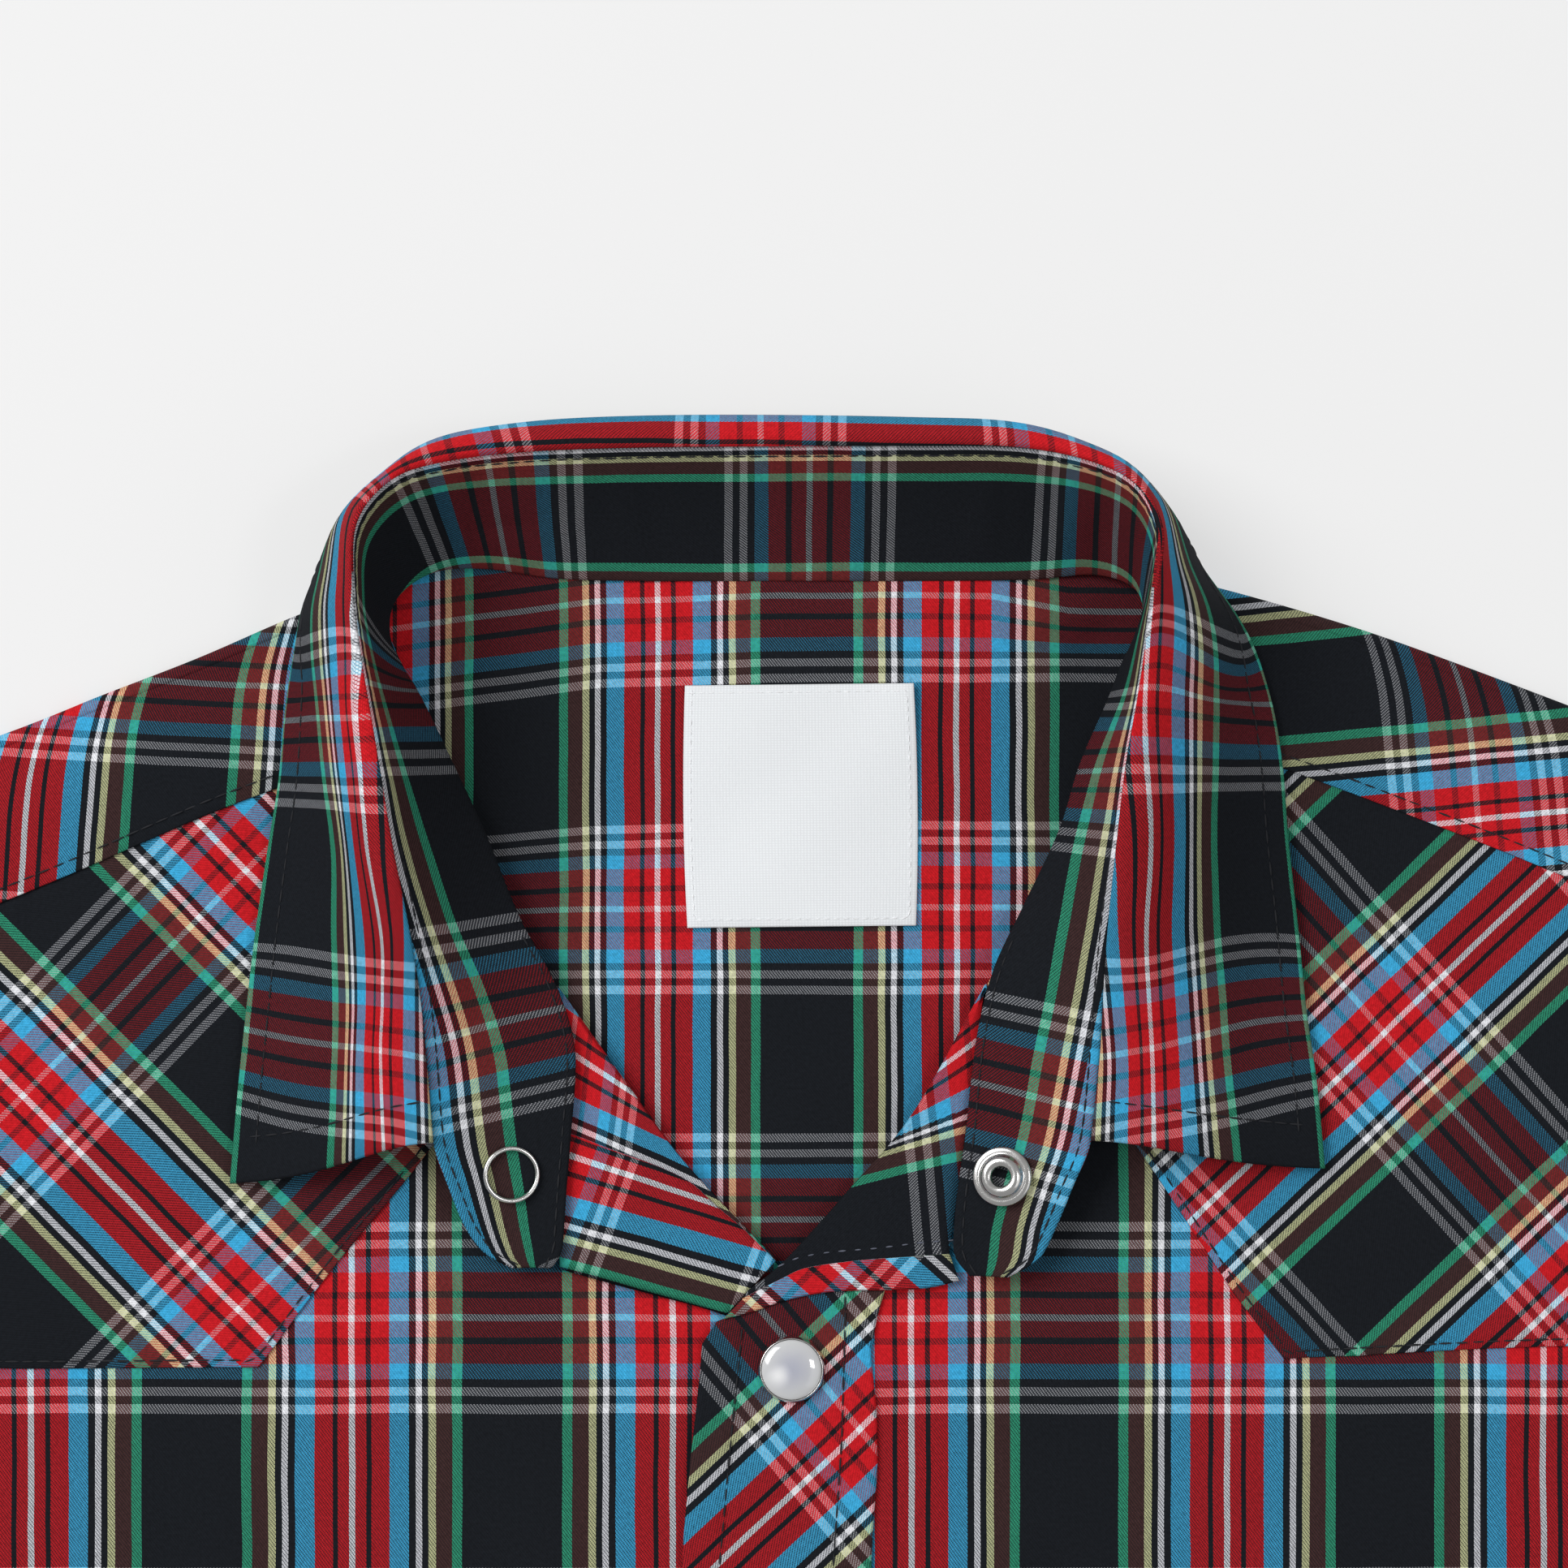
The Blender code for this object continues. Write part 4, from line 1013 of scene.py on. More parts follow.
@dataclass
class Body:
    """Back, fronts, yokes and placket."""

    finishes: Finishes
    side_fall: float = 2.0       # how far a front comes down at its side seam
    hem_fall: float = 1.2        # and at its hem

    def front_height(self, half: Half) -> Height:
        """The face of a front: its solid's form, slow waves, and puckers along its seams.

        Args:
            half: The half it belongs to.

        Returns:
            The height as a function of places in plan.
        """
        yoke = Line(half.yoke_edge, corners=(3,))
        shoulder = Line(half.seam)

        def height(x: Array, y: Array) -> Array:
            """The height of the face.

            Args:
                x, y: Places in plan.

            Returns:
                The height at each place.
            """
            face = front_face(x, y, half.climbs) + undulation(x, y, half.seed)
            side = np.where(y < ARMPIT_Y, side_x(y), 1e3)
            face = face - self.side_fall * smoothstep(26.0, 2.0, side - np.abs(x))
            face = face - self.hem_fall * smoothstep(24.0, 2.0, y - tail(x, FRONT_TAIL_Y))
            return face + pucker(x, y, yoke, half.seed) + pucker(x, y, shoulder, half.seed + 1)

        return height

    def make_back(self) -> None:
        """The back below the yoke, which lies on the table."""
        cols, col_drop = nosed(120, 2 * SIDE_X, SHEET / 2)
        rows, row_drop = nosed(110, 500.0, SHEET / 2)
        u = 2.0 * cols - 1.0
        x_top = YOKE_SIDE[0] * u
        y_top = yoke_seam_y(x_top) - GAP
        edge = Line(((HEM_X, SIDE_HEM_Y), WAIST, *((hx - BODY_INSET, hy) for hx, hy in reversed(ARMHOLE[3:])),
                     (YOKE_SIDE[0], YOKE_SIDE[1] - GAP)), smooth=False).at(rows)
        blend = rows[:, None] ** 8
        x = edge[:, :1] * u * (1.0 - blend) + x_top * blend
        tail_y = tail(x, TAIL_Y)
        y = tail_y + (edge[:, 1:] - SIDE_HEM_Y) * (y_top - tail_y) / (y_top[0] - SIDE_HEM_Y)
        plan = np.stack((x, y), axis=-1)
        grain = Grain(90.0, (0, 0), (0, -128.7))
        piece = lay("back_panel", plan, lambda px, py: np.full(px.shape, BACK_Z), grain.uv,
                    edge_drop(row_drop, col_drop), SHEET, self.finishes.tartan)
        dress_cloth(piece, "back")

    def make_back_yoke(self, half: Half) -> None:
        """Half of the outer back yoke, round the shoulder to the front shoulder seam.

        Args:
            half: The half it belongs to.
        """
        neck_cols, fold_cols, turns = 28, 76, 12      # columns at the neck and at the fold, steps round it
        radius = NOSE_Z / 2.0
        fold, seam = (Line(line).at(np.linspace(0, 1, fold_cols)) for line in (half.shoulder, half.seam))
        across = np.concatenate((Line(half.neck_back[:-1]).at(np.linspace(0, 1, neck_cols)), fold))
        x = across[:, 0]
        end_y = across[:, 1] - np.where(np.arange(len(across)) < neck_cols, 0.0, radius)
        seam_y = yoke_seam_y(x)
        flat = np.stack([np.stack((x, seam_y + (end_y - seam_y) * t, np.full(len(x), TABLE_GAP)), axis=1)
                         for t in np.linspace(0.0, 1.0, 30)])
        x, y = fold[:, 0], fold[:, 1] - radius
        rest = []
        for angle in np.radians(np.linspace(-90, 90, turns + 1)[1:]):
            lift = neck_lift(x, fold[:, 1]) * (0.5 + 0.5 * math.sin(angle))
            z = TABLE_GAP + radius + radius * math.sin(angle) + lift
            rest.append(np.stack((x, y + radius * math.cos(angle), z), axis=1))
        over, over_drop = nosed(22, 32.0, SHEET / 2)
        height = self.front_height(half)
        for t in over[1:]:
            px = x + (seam[:, 0] - x) * t
            py = y + (seam[:, 1] - 0.8 - y) * t
            start = 2 * radius + neck_lift(px, py)
            end = height(px, py) + FOLD_RISE
            rest.append(np.stack((px, py, start + (end - start) * smoothstep(0.0, 0.55, t)), axis=1))
        points = np.concatenate((flat.reshape(-1, 3), np.stack(rest).reshape(-1, 3)))
        first = flat.shape[0] * flat.shape[1]
        base = first - fold_cols
        joint = np.array([(base + c, base + c + 1, first + c + 1, first + c) for c in range(fold_cols - 1)])
        quads = np.concatenate((grid_quads(*flat.shape[:2]), joint, grid_quads(len(rest), fold_cols, first)))
        drop = np.zeros(len(points))
        drop[first:] = np.repeat(np.concatenate((np.zeros(turns), over_drop[1:])), fold_cols)
        ridge_x, ridge_y = np.array(half.shoulder, dtype=float).T
        shoulder_y = np.interp(half.sign * points[:, 0], half.sign * ridge_x, ridge_y)
        bent = 2.0 * half.sign * np.clip(1.0 - np.abs(points[:, 1] - shoulder_y) / 12.0, 0.0, 1.0) ** 2
        uv = half.wrap_grain.uv(points[:, 0] + bent, points[:, 1])
        outward = np.zeros_like(points)
        outward[:, 2] = np.where(np.arange(len(points)) < first, -1.0, 1.0)
        piece = shell(f"{half.name}_yoke_half", points, quads, uv, drop, SHEET, self.finishes.tartan, outward)
        dress_cloth(piece, f"{half.name}_back_yoke")

    def make_lining(self) -> None:
        """The inner layer of the yoke, which shows through the neck."""
        nose, margin = NOSE_Z + GAP, 2.0
        tops = [[*((x, y + margin) for x, y in half.neck_back[1:]),
                 *((x, y - nose) for x, y in half.shoulder[1:])] for half in (RIGHT, LEFT)]
        upper = Line(tops[0][::-1] + tops[1], smooth=False)
        cols, col_drop = nosed(210, upper.length, SHEET / 2)
        rows, row_drop = nosed(88, 175.0, SHEET / 2)
        head = upper.at(cols)
        low = yoke_seam_y(head[:, 0])
        y = low + (head[:, 1] - low) * rows[:, None]
        x = np.broadcast_to(head[:, 0], y.shape)
        plan = np.stack((x, y), axis=-1)
        grain = Grain(90.0, (-20.6, 0), (0, -2.0), weft_scale=1.105,
                      marks=((-105.0, -110.8), (-52.5, -55.4), (0, 0), (16.5, 18.15), (33.2, 37.25),
                             (38.7, 43.9), (47.0, 53.5)))

        def places(px: Array, py: Array) -> Array:
            """Places in a cloth that is pulled towards the neck.

            Args:
                px, py: Places in plan.

            Returns:
                U and V for each place.
            """
            weft_shade_tone = 0.035 * np.clip(-px, 0.0, 70.0) + 0.1 * np.clip(-32.0 - px, 0.0, 40.0)
            pulled = 0.2 * np.clip(px - 38.0, 0.0, 14.0) * smoothstep(-14.0, -6.0, py)
            return grain.uv(px, py + weft_shade_tone * smoothstep(-70.0, -30.0, py) + pulled)

        piece = lay("yoke_inner_layer", plan, lining_face, places, edge_drop(row_drop, col_drop), SHEET,
                    self.finishes.tartan)
        dress_cloth(piece, "yoke_lining")

    def make_front(self, half: Half) -> None:
        """One front, from the tail to the shoulder seam.

        Args:
            half: The half it belongs to.
        """
        width = 245.0
        inner_x = half.opening[0][0]
        split_y = half.opening[0][1] - 60.0      # where the rows turn from the side seam to the armhole
        side = Line([(half.sign * x, y) for x, y in ((HEM_X, SIDE_HEM_Y), WAIST, (SIDE_X, ARMPIT_Y))])
        arm = Line([(half.sign * (x - BODY_INSET), y) for x, y in reversed(ARMHOLE[1:])])
        inside = Line(((inner_x, split_y), *half.opening), smooth=False)
        cols, col_drop = nosed(118, width, SHEET / 2)
        cols = cols * (1.0 - 1.0 / width)        # the inner edge stays a millimetre inside the opening
        low_rows, low_drop = nosed(80, 470.0, SHEET / 2)
        high_rows, high_drop = nosed(105, 190.0, SHEET / 2)
        low_drop[-2:] = 0
        high_drop[:2] = 0
        plan = []
        for s in low_rows[:-2]:
            a = side.at(s)
            b = np.array((inner_x, FRONT_TAIL_Y + (split_y - FRONT_TAIL_Y) * s))
            line = a + (b - a) * cols[:, None]
            curve = tail(line[:, 0], FRONT_TAIL_Y) - (SIDE_HEM_Y + (FRONT_TAIL_Y - SIDE_HEM_Y) * cols)
            line[:, 1] += (1.0 - s) ** 2 * curve
            plan.append(line)
        for s in high_rows[1:]:
            a, b = arm.at(s), inside.at(s)
            plan.append(a + (b - a) * cols[:, None])
        drops = np.concatenate((low_drop[:-2], high_drop[1:]))
        piece = lay(f"{half.name}_front_panel", np.array(plan), self.front_height(half), half.front_grain.uv,
                    edge_drop(drops, col_drop), SHEET, self.finishes.tartan)
        dress_cloth(piece, f"{half.name}_front")

    def make_front_yoke(self, half: Half) -> None:
        """The pointed yoke on a front.

        Args:
            half: The half it belongs to.
        """
        seam = Line(half.seam)
        edge = Line(half.yoke_edge, corners=(3,))
        corner = edge.corner_shares[0]
        cols, col_drop = nosed(84, edge.length, SHEET / 2, (corner,))
        rows, row_drop = nosed(50, 85.0, SHEET / 2)
        plan = ruled(seam, edge, cols, rows).transpose(1, 0, 2)
        plan[..., 0] = half.sign * np.minimum(np.abs(plan[..., 0]), armhole_x(plan[..., 1]))
        base = self.front_height(half)
        piece = lay(f"{half.name}_front_yoke_panel", plan, lambda x, y: base(x, y) + YOKE_RISE,
                    half.yoke_grain.uv, edge_drop(row_drop, col_drop), SHEET, self.finishes.tartan)
        dress_cloth(piece, f"{half.name}_front_yoke")

    def make_placket(self) -> None:
        """The bias strip down the left front that carries the snaps."""
        left, right = (Line(((edge[0][0], FRONT_TAIL_Y), *edge), smooth=False) for edge in PLACKET_EDGES)
        cols, col_drop = nosed(34, 33.0, SHEET)
        rows, row_drop = nosed(420, left.length, SHEET)
        plan = ruled(left, right, rows, cols)
        plan[..., 1] += 1.7 * np.sin(math.pi * cols) * smoothstep(0.988, 1.0, rows)[:, None]
        base = self.front_height(LEFT)
        grain = Grain(43.6, (9.6, -153.0), (8.4, -140.2), 1.0, 1.03, 86.1)

        def height(x: Array, y: Array) -> Array:
            """The height of the strip's face, grooved and rippled along its seams.

            Args:
                x, y: Places in plan.

            Returns:
                The height at each place.
            """
            face = base(x, y) + PLACKET_RISE
            for side in range(2):
                away = x - placket_seam_x(side, y)
                groove = 0.28 * np.exp(-(away / 0.75) ** 2)
                ripple = 0.14 * np.sin(y / 1.35 + 2.0 * np.sin(y / 7.3) + 2.0 * side)
                face = face - groove + ripple * np.exp(-(away / 2.8) ** 2)
            return face

        piece = lay("placket_strip", plan, height, grain.uv, edge_drop(row_drop, col_drop), STRIP,
                    self.finishes.tartan)
        dress_cloth(piece, "placket")

    def make(self) -> None:
        """Makes every piece of the body."""
        self.make_back()
        self.make_lining()
        for half in (RIGHT, LEFT):
            self.make_back_yoke(half)
            self.make_front(half)
            self.make_front_yoke(half)
        self.make_placket()


# ---- the collar


@dataclass(frozen=True)
class CollarRow:
    """One section through the collar, with where its cloth was cut.

    Each place is x, y, z. stand_u and stand_v are cloth places at the roll and at the neck; leaf_u is at the
    roll; leaf_v at the roll and at the leaf's edge. tuck is 1 where the leaf runs under the stand. spread is
    how far towards the edge, as shares in plan, the leaf's middle white stripe and its inner green one lie.
    swell is how round the leaf turns over where it runs under the stand.
    """

    neck: tuple
    roll: tuple
    edge: tuple
    tuck: float
    stand_u: tuple
    stand_v: tuple
    leaf_u: float = 0.0
    leaf_v: tuple = (0.0, 0.0)
    spread: tuple = (0.01, 0.49)
    swell: float = 1.0

    def numbers(self) -> list[float]:
        """The section as one row of numbers, in the order that ROLL to SWELL say."""
        return [*self.roll, *self.neck, *self.edge, self.tuck, *self.stand_u, *self.stand_v, self.leaf_u,
                *self.leaf_v, *self.spread, self.swell]


ROLL, NECK, EDGE, TUCK = slice(0, 3), slice(3, 6), slice(6, 9), slice(9, 10)
STAND_CLOTH, LEAF_CLOTH, SWELL = slice(10, 14), slice(14, 19), slice(19, 20)

LEAF_GREEN_U = 18.15
LEAF_EDGE_U = 37.6

RIGHT_COLLAR = (
    CollarRow((-22, 0.3, 2.9), (-23, 22.9, 18.5), (-22, 5.0, 0), 1, (11.5, 40.3), (149, 150.2), 1.7,
              (158.6, 158)),
    CollarRow((-38, 0.7, 3.0), (-43, 22.1, 19.3), (-40, 5.5, 0), 1, (11.5, 40.3), (128.2, 132.1), 1.2,
              (136.6, 137), swell=0.95),
    CollarRow((-51, 2.4, 3.5), (-57.4, 20.2, 22.0), (-54, 8.0, 0), 1, (11.5, 40.0), (113.6, 115.5), 1.2,
              (123.3, 122), (0.013, 0.51), 0.75),
    CollarRow((-60, 1.6, 5.2), (-66.0, 16.9, 26.5), (-66, 10.5, 0.3), 0.9, (11.5, 38.6), (104.3, 104.5), 1.3,
              (112.9, 112), (0.013, 0.58), 0.42),
    CollarRow((-66, -3.0, 8.0), (-71.6, 9.2, 31.5), (-76.0, 6.0, 2.6), 0.6, (11.5, 36.4), (91.5, 95.5), 1.0,
              (98.8, 98), (0.03, 0.72), 0.42),
    CollarRow((-67, -9.4, 9.4), (-71.9, -1.8, 34.5), (-81.8, -2.0, 7.9), 0.3, (11.5, 35.8), (76.8, 84), 0.4,
              (85.7, 86.2), (0.06, 0.74), 0.4),
    CollarRow((-64.5, -15, 9.5), (-70.8, -11.4, 35.0), (-84.2, -12.0, 8.8), 0.1, (11.4, 35.4), (66.9, 71),
              -0.2, (74.8, 74.6), (0.09, 0.7)),
    CollarRow((-61.3, -20.3, 9.4), (-69.2, -21.3, 34.0), (-85.8, -22.0, 8.4), 0, (11.4, 34.4), (56.7, 58),
              -1.4, (63, 63), (0.19, 0.62)),
    CollarRow((-55.4, -32.7, 8.7), (-67.4, -33.0, 31.5), (-87.0, -34.5, 8.0), 0, (11.3, 33), (44.6, 44.5), -3,
              (51, 48.8), (0.20, 0.55)),
    CollarRow((-50.3, -43.7, 8.1), (-65.5, -45.6, 28.5), (-89.0, -47.0, 7.7), 0, (11.3, 31), (31.6, 31.7),
              -4.7, (38.5, 35), (0.21, 0.46)),
    CollarRow((-44.4, -58.3, 7.8), (-62.9, -60.0, 24.5), (-91.2, -62.0, 7.7), 0, (10, 30.5), (17, 16), -8,
              (23, 17.8), (0.18, 0.475)),
    CollarRow((-37.9, -70.7, 7.8), (-61.3, -71.8, 19.5), (-92.8, -76.0, 7.7), 0, (8.5, 30), (6.9, 3.6), -11.5,
              (11, 2.3), (0.21, 0.47)),
    CollarRow((-34.8, -82.0, 7.9), (-60.4, -82.8, 16.0), (-94.1, -88.5, 7.7), 0, (7, 29), (-2.2, -8.1), -13,
              (0, -12), (0.24, 0.48)),
    CollarRow((-35.6, -96.5, 8.0), (-59.3, -97.6, 13.5), (-95.5, -105, 7.7), 0, (6.5, 27), (-17.9, -22.5),
              -14.5, (-15, -30.5), (0.24, 0.50)),
)
LEFT_COLLAR = (
    CollarRow((24, 0.3, 2.9), (24, 23.2, 18.5), (24, 5.0, 0), 1, (11.5, 40.3), (201.8, 202.1), 2.8,
              (211.7, 211.7), swell=0.97),
    CollarRow((44, 0.5, 2.9), (42, 22.9, 19.5), (43, 5.5, 0), 1, (11.5, 40.3), (221.4, 224.7), 3.3,
              (232.1, 232.1), swell=0.91),
    CollarRow((56, 1.3, 3.6), (54, 20.5, 22.5), (55, 7.5, 0), 1, (11.5, 40.3), (235.9, 238.3), 3.3,
              (244.9, 244.9), swell=0.7),
    CollarRow((62.5, -0.8, 5.6), (61.8, 16.4, 26.5), (64, 9.5, 0.3), 0.9, (11.5, 39.3), (245.7, 247), 3.2,
              (255.6, 255.6), swell=0.5),
    CollarRow((64.3, -5.0, 8.4), (65.5, 9.0, 31.5), (71.2, 7.0, 2.4), 0.6, (11.5, 36.6), (253.4, 255.5), 2.5,
              (266.5, 266), (0.013, 0.5), 0.4),
    CollarRow((62.9, -9.5, 9.4), (65.1, 1.6, 34.5), (76.6, 0.4, 7.8), 0.3, (11.5, 32), (263.4, 264.5), 1.0,
              (277.6, 275.6), (0.015, 0.62), 0.3),
    CollarRow((60.6, -13.8, 9.5), (63.6, -8.2, 35.0), (83.0, -9.0, 8.8), 0.1, (11.5, 28), (274.8, 275), -0.3,
              (289.3, 287.1), (0.02, 0.64)),
    CollarRow((57.9, -20.5, 9.3), (61.9, -20.2, 34.5), (87.0, -20.5, 8.5), 0, (11.5, 24), (288.5, 288.5),
              -2.0, (304.8, 302.1), (0.055, 0.59)),
    CollarRow((53.0, -31.8, 8.6), (60.0, -31.6, 32.5), (89.0, -32.0, 8.0), 0, (11.5, 22.5), (301.7, 301.5),
              -3.2, (315.1, 315.1), (0.13, 0.57)),
    CollarRow((49.5, -43.0, 8.1), (58.6, -44.3, 30.5), (90.0, -44.5, 7.7), 0, (11.5, 22), (316.2, 315.7),
              -5.9, (326.6, 328.6), (0.195, 0.56)),
    CollarRow((43.4, -56.0, 7.8), (57.2, -59.5, 26.5), (91.8, -61.0, 7.7), 0, (10.8, 25), (331.5, 330.1), -9,
              (341.1, 346.1), (0.20, 0.565)),
    CollarRow((38.0, -67.5, 8.3), (56.6, -71.5, 22.0), (93.2, -75.0, 7.7), 0, (9.5, 28), (343.5, 342.8), -12,
              (353.3, 362.5), (0.22, 0.58)),
    CollarRow((35.0, -80.0, 8.7), (56.2, -82.8, 18.0), (95.0, -87.5, 7.7), 0, (8, 28.5), (354.5, 356.3),
              -14.2, (363.9, 376.4), (0.237, 0.586)),
    CollarRow((33.2, -96.5, 8.9), (54.8, -97.2, 15.0), (96.4, -102.4, 7.7), 0, (6.5, 27.5), (368.9, 373.1),
              -15.5, (378.1, 392.1), (0.267, 0.623)),
)
CENTRE_BACK = CollarRow((0, 0.3, 2.9), (0, 23.1, 18.5), (0, 5.0, 0), 1, (11.5, 40.3), (175, 175), 2.2,
                        (184.6, 184.6))
RIGHT_TAB = (
    CollarRow((-36.3, -105.0, 8.0), (-56.9, -105.0, 12.0), (0, 0, 0), 0, (6.5, 26), (-25.3, -31)),
    CollarRow((-36.8, -112.3, 7.9), (-54.0, -112.3, 10.8), (0, 0, 0), 0, (7, 25.5), (-32.6, -38.3)),
    CollarRow((-37.3, -117.0, 7.9), (-50.5, -117.0, 10.0), (0, 0, 0), 0, (8.5, 25), (-37.3, -43)),
    CollarRow((-39.0, -119.9, 7.9), (-45.5, -119.5, 9.2), (0, 0, 0), 0, (12, 24), (-40, -46)),
)
LEFT_TAB = (
    CollarRow((32.0, -105.0, 8.9), (51.9, -105.0, 13.0), (0, 0, 0), 0, (6.5, 27), (376.7, 381.6)),
    CollarRow((31.3, -112.3, 8.9), (49.0, -112.3, 11.6), (0, 0, 0), 0, (7, 26), (384, 388.9)),
    CollarRow((31.4, -117.5, 8.9), (46.0, -118.0, 10.6), (0, 0, 0), 0, (9, 25.5), (389.6, 394.1)),
    CollarRow((34.0, -121.1, 8.9), (40.5, -121.3, 9.6), (0, 0, 0), 0, (12, 24), (393.1, 397.6)),
)


def bezier(start: Array, first: Array, last: Array, end: Array, t: Array) -> Array:
    """Points of many cubic curves at once: one curve for each row of the four points.

    Args:
        start, first, last, end: The four points of each curve.
        t: Shares of the way along each curve.

    Returns:
        A row of points for each curve.
    """
    s = 1.0 - t[..., None]
    t = t[..., None]
    return (s ** 3 * start[:, None] + 3 * s * s * t * first[:, None] + 3 * s * t * t * last[:, None]
            + t ** 3 * end[:, None])


@dataclass
class Collar:
    """The stand with its tab ends, and the leaf turned down over it."""

    finishes: Finishes
    hollow: float = 0.9 / 26.0   # how far the stand sags between neck and roll, for each millimetre
    stand_top: Array = field(default_factory=lambda: np.zeros((0, 0, 3)))
    leaf_top: Array = field(default_factory=lambda: np.zeros((0, 0, 3)))

    def sections(self, rows: Sequence[CollarRow], count: int) -> tuple[Array, Array]:
        """Even sections through a run of the collar's rows, with rounded ends.

        Args:
            rows: The rows.
            count: How many sections lie between the two ends.

        Returns:
            The sections' numbers, and how far the face falls at each.
        """
        spine = Line([r.numbers() for r in rows], measured=3)
        shares, drop = nosed(count, spine.length, BAND / 2)
        return spine.at(shares), drop

    def stand_face(self, cut: Array, shares: Array) -> tuple[Array, Array]:
        """Face and cloth places of the stand at sections, from the neck up to the roll.

        Args:
            cut: The sections' numbers.
            shares: Shares of the way up.

        Returns:
            The points, and the places in the cloth.
        """
        roll, neck = cut[:, None, ROLL], cut[:, None, NECK]
        s = shares[None, :, None]
        run = roll - neck
        points = neck + run * s
        hollow = self.hollow * np.sin(math.pi * s) * np.linalg.norm(run, axis=-1, keepdims=True)
        out = run.copy()
        out[..., 2] = 0
        out /= np.linalg.norm(out, axis=-1, keepdims=True)
        points = points + out * hollow * 0.6 - np.array((0, 0, 1.0)) * hollow
        for fold in STAND_FOLDS:
            points[..., 2] += fold.rise(points[..., 0], points[..., 1])
        u_roll, u_neck, v_roll, v_neck = cut[:, STAND_CLOTH].T[..., None]
        u = u_neck + (u_roll - u_neck) * shares
        v = v_neck + (v_roll - v_neck) * shares
        return points, np.stack((u, v), axis=-1) * MM

    def make_stand(self) -> None:
        """The stand, leaning out from the neck seam."""
        rows = (*reversed(RIGHT_TAB), *reversed(RIGHT_COLLAR), CENTRE_BACK, *LEFT_COLLAR, *LEFT_TAB)
        cut, row_drop = self.sections(rows, 250)
        shares, col_drop = nosed(22, 25.0, BAND / 2)
        points, uv = self.stand_face(cut, shares)
        self.stand_top = points
        piece = grid_shell("stand_band", points, uv, edge_drop(row_drop, col_drop), BAND,
                           self.finishes.tartan)
        dress_cloth(piece, "collar_stand")

    def leaf_face(self, cut: Array, shares: Array) -> tuple[Array, Array]:
        """Face and cloth places of the leaf at sections, from the roll to its edge.

        Args:
            cut: The sections' numbers.
            shares: Shares of the way to the edge.

        Returns:
            The points, and the places in the cloth.
        """
        roll, neck, edge, tuck = cut[:, ROLL], cut[:, NECK], cut[:, EDGE], cut[:, TUCK]
        up = np.array((0.0, 0.0, 1.0))
        out = roll - neck
        out[:, 2] = 0
        out /= np.linalg.norm(out, axis=1, keepdims=True)
        start = roll + up * LAYER
        reach = np.linalg.norm((edge - start)[:, :2], axis=1, keepdims=True)
        free, round_over = 1 - tuck, tuck * cut[:, SWELL]
        first = start + out * (3.3 * round_over + 0.32 * reach * free) + up * (7.0 * tuck + 1.5 * free)
        last = edge + out * (36.6 * round_over - 0.50 * reach * free) + up * (5.0 * tuck + 4.0 * free)
        stops = np.linspace(0, 1, 81)
        fine = bezier(start, first, last, edge, np.broadcast_to(stops, (len(cut), len(stops))))
        steps = np.linalg.norm(np.diff(fine, axis=1), axis=2)
        reach = np.concatenate((np.zeros((len(cut), 1)), np.cumsum(steps, axis=1)), axis=1)
        t = np.array([np.interp(shares * r[-1], r, stops) for r in reach])
        points = bezier(start, first, last, edge, t)
        run = edge[:, :2] - start[:, :2]
        plan = np.sum((points[..., :2] - start[:, None, :2]) * run[:, None], axis=2)
        plan = plan / np.sum(run * run, axis=1)[:, None]
        plan = np.maximum.accumulate(np.clip(plan, 0.0, 1.0), axis=1)
        out_share = shares + (plan - shares) * free
        u_roll, v_roll, v_edge, white, green = cut[:, LEAF_CLOTH].T
        u = np.stack([np.interp(row, (0, w, g, 1), (start, max(start, 0.0), LEAF_GREEN_U, LEAF_EDGE_U))
                      for row, start, w, g in zip(out_share, u_roll, white, green)])
        v = v_roll[:, None] + (v_edge - v_roll)[:, None] * shares
        return points, np.stack((u, v), axis=-1) * MM

    def make_leaf(self) -> None:
        """The leaf, over the stand and, at the back, tucked under it."""
        rows = (*reversed(RIGHT_COLLAR), CENTRE_BACK, *LEFT_COLLAR)
        cut, row_drop = self.sections(rows, 220)
        shares, col_drop = nosed(30, 42.0, BAND / 2)
        points, uv = self.leaf_face(cut, shares)
        self.leaf_top = points
        piece = grid_shell("leaf_panel", points, uv, edge_drop(row_drop, col_drop), BAND,
                           self.finishes.tartan)
        dress_cloth(piece, "collar_leaf")

    def make(self) -> None:
        """Makes the stand and the leaf."""
        self.make_stand()
        self.make_leaf()


# ---- facings, label, sleeves, snaps


@dataclass(frozen=True)
class Fan:
    """Stripes that spread: each row gives a cloth place, where its line crosses a vertical, and its slope."""

    cross_x: float
    rows: tuple            # (u, y at cross_x, slope in degrees)
    weft_x: float          # where the weft's pivot crosses at weft_y
    weft_y: float
    weft_lean: float       # how far the weft's lines move in X for each millimetre down
    weft_scale: float = 1.0

    def uv(self, x: Array, y: Array) -> Array:
        """Places in the cloth, in metres.

        Args:
            x, y: Places in plan.

        Returns:
            U and V for each place.
        """
        flat_x, flat_y = np.ravel(x), np.ravel(y)
        u_row, level, slope = np.array(self.rows, dtype=float).T
        fan = level + np.tan(np.radians(slope)) * (flat_x[:, None] - self.cross_x)
        u = np.array([np.interp(-py, -lines, u_row) for py, lines in zip(flat_y, fan)])
        v = (flat_x - self.weft_x - self.weft_lean * (self.weft_y - flat_y)) * self.weft_scale
        return (np.stack((u, v), axis=-1) * MM).reshape(*np.shape(x), 2)


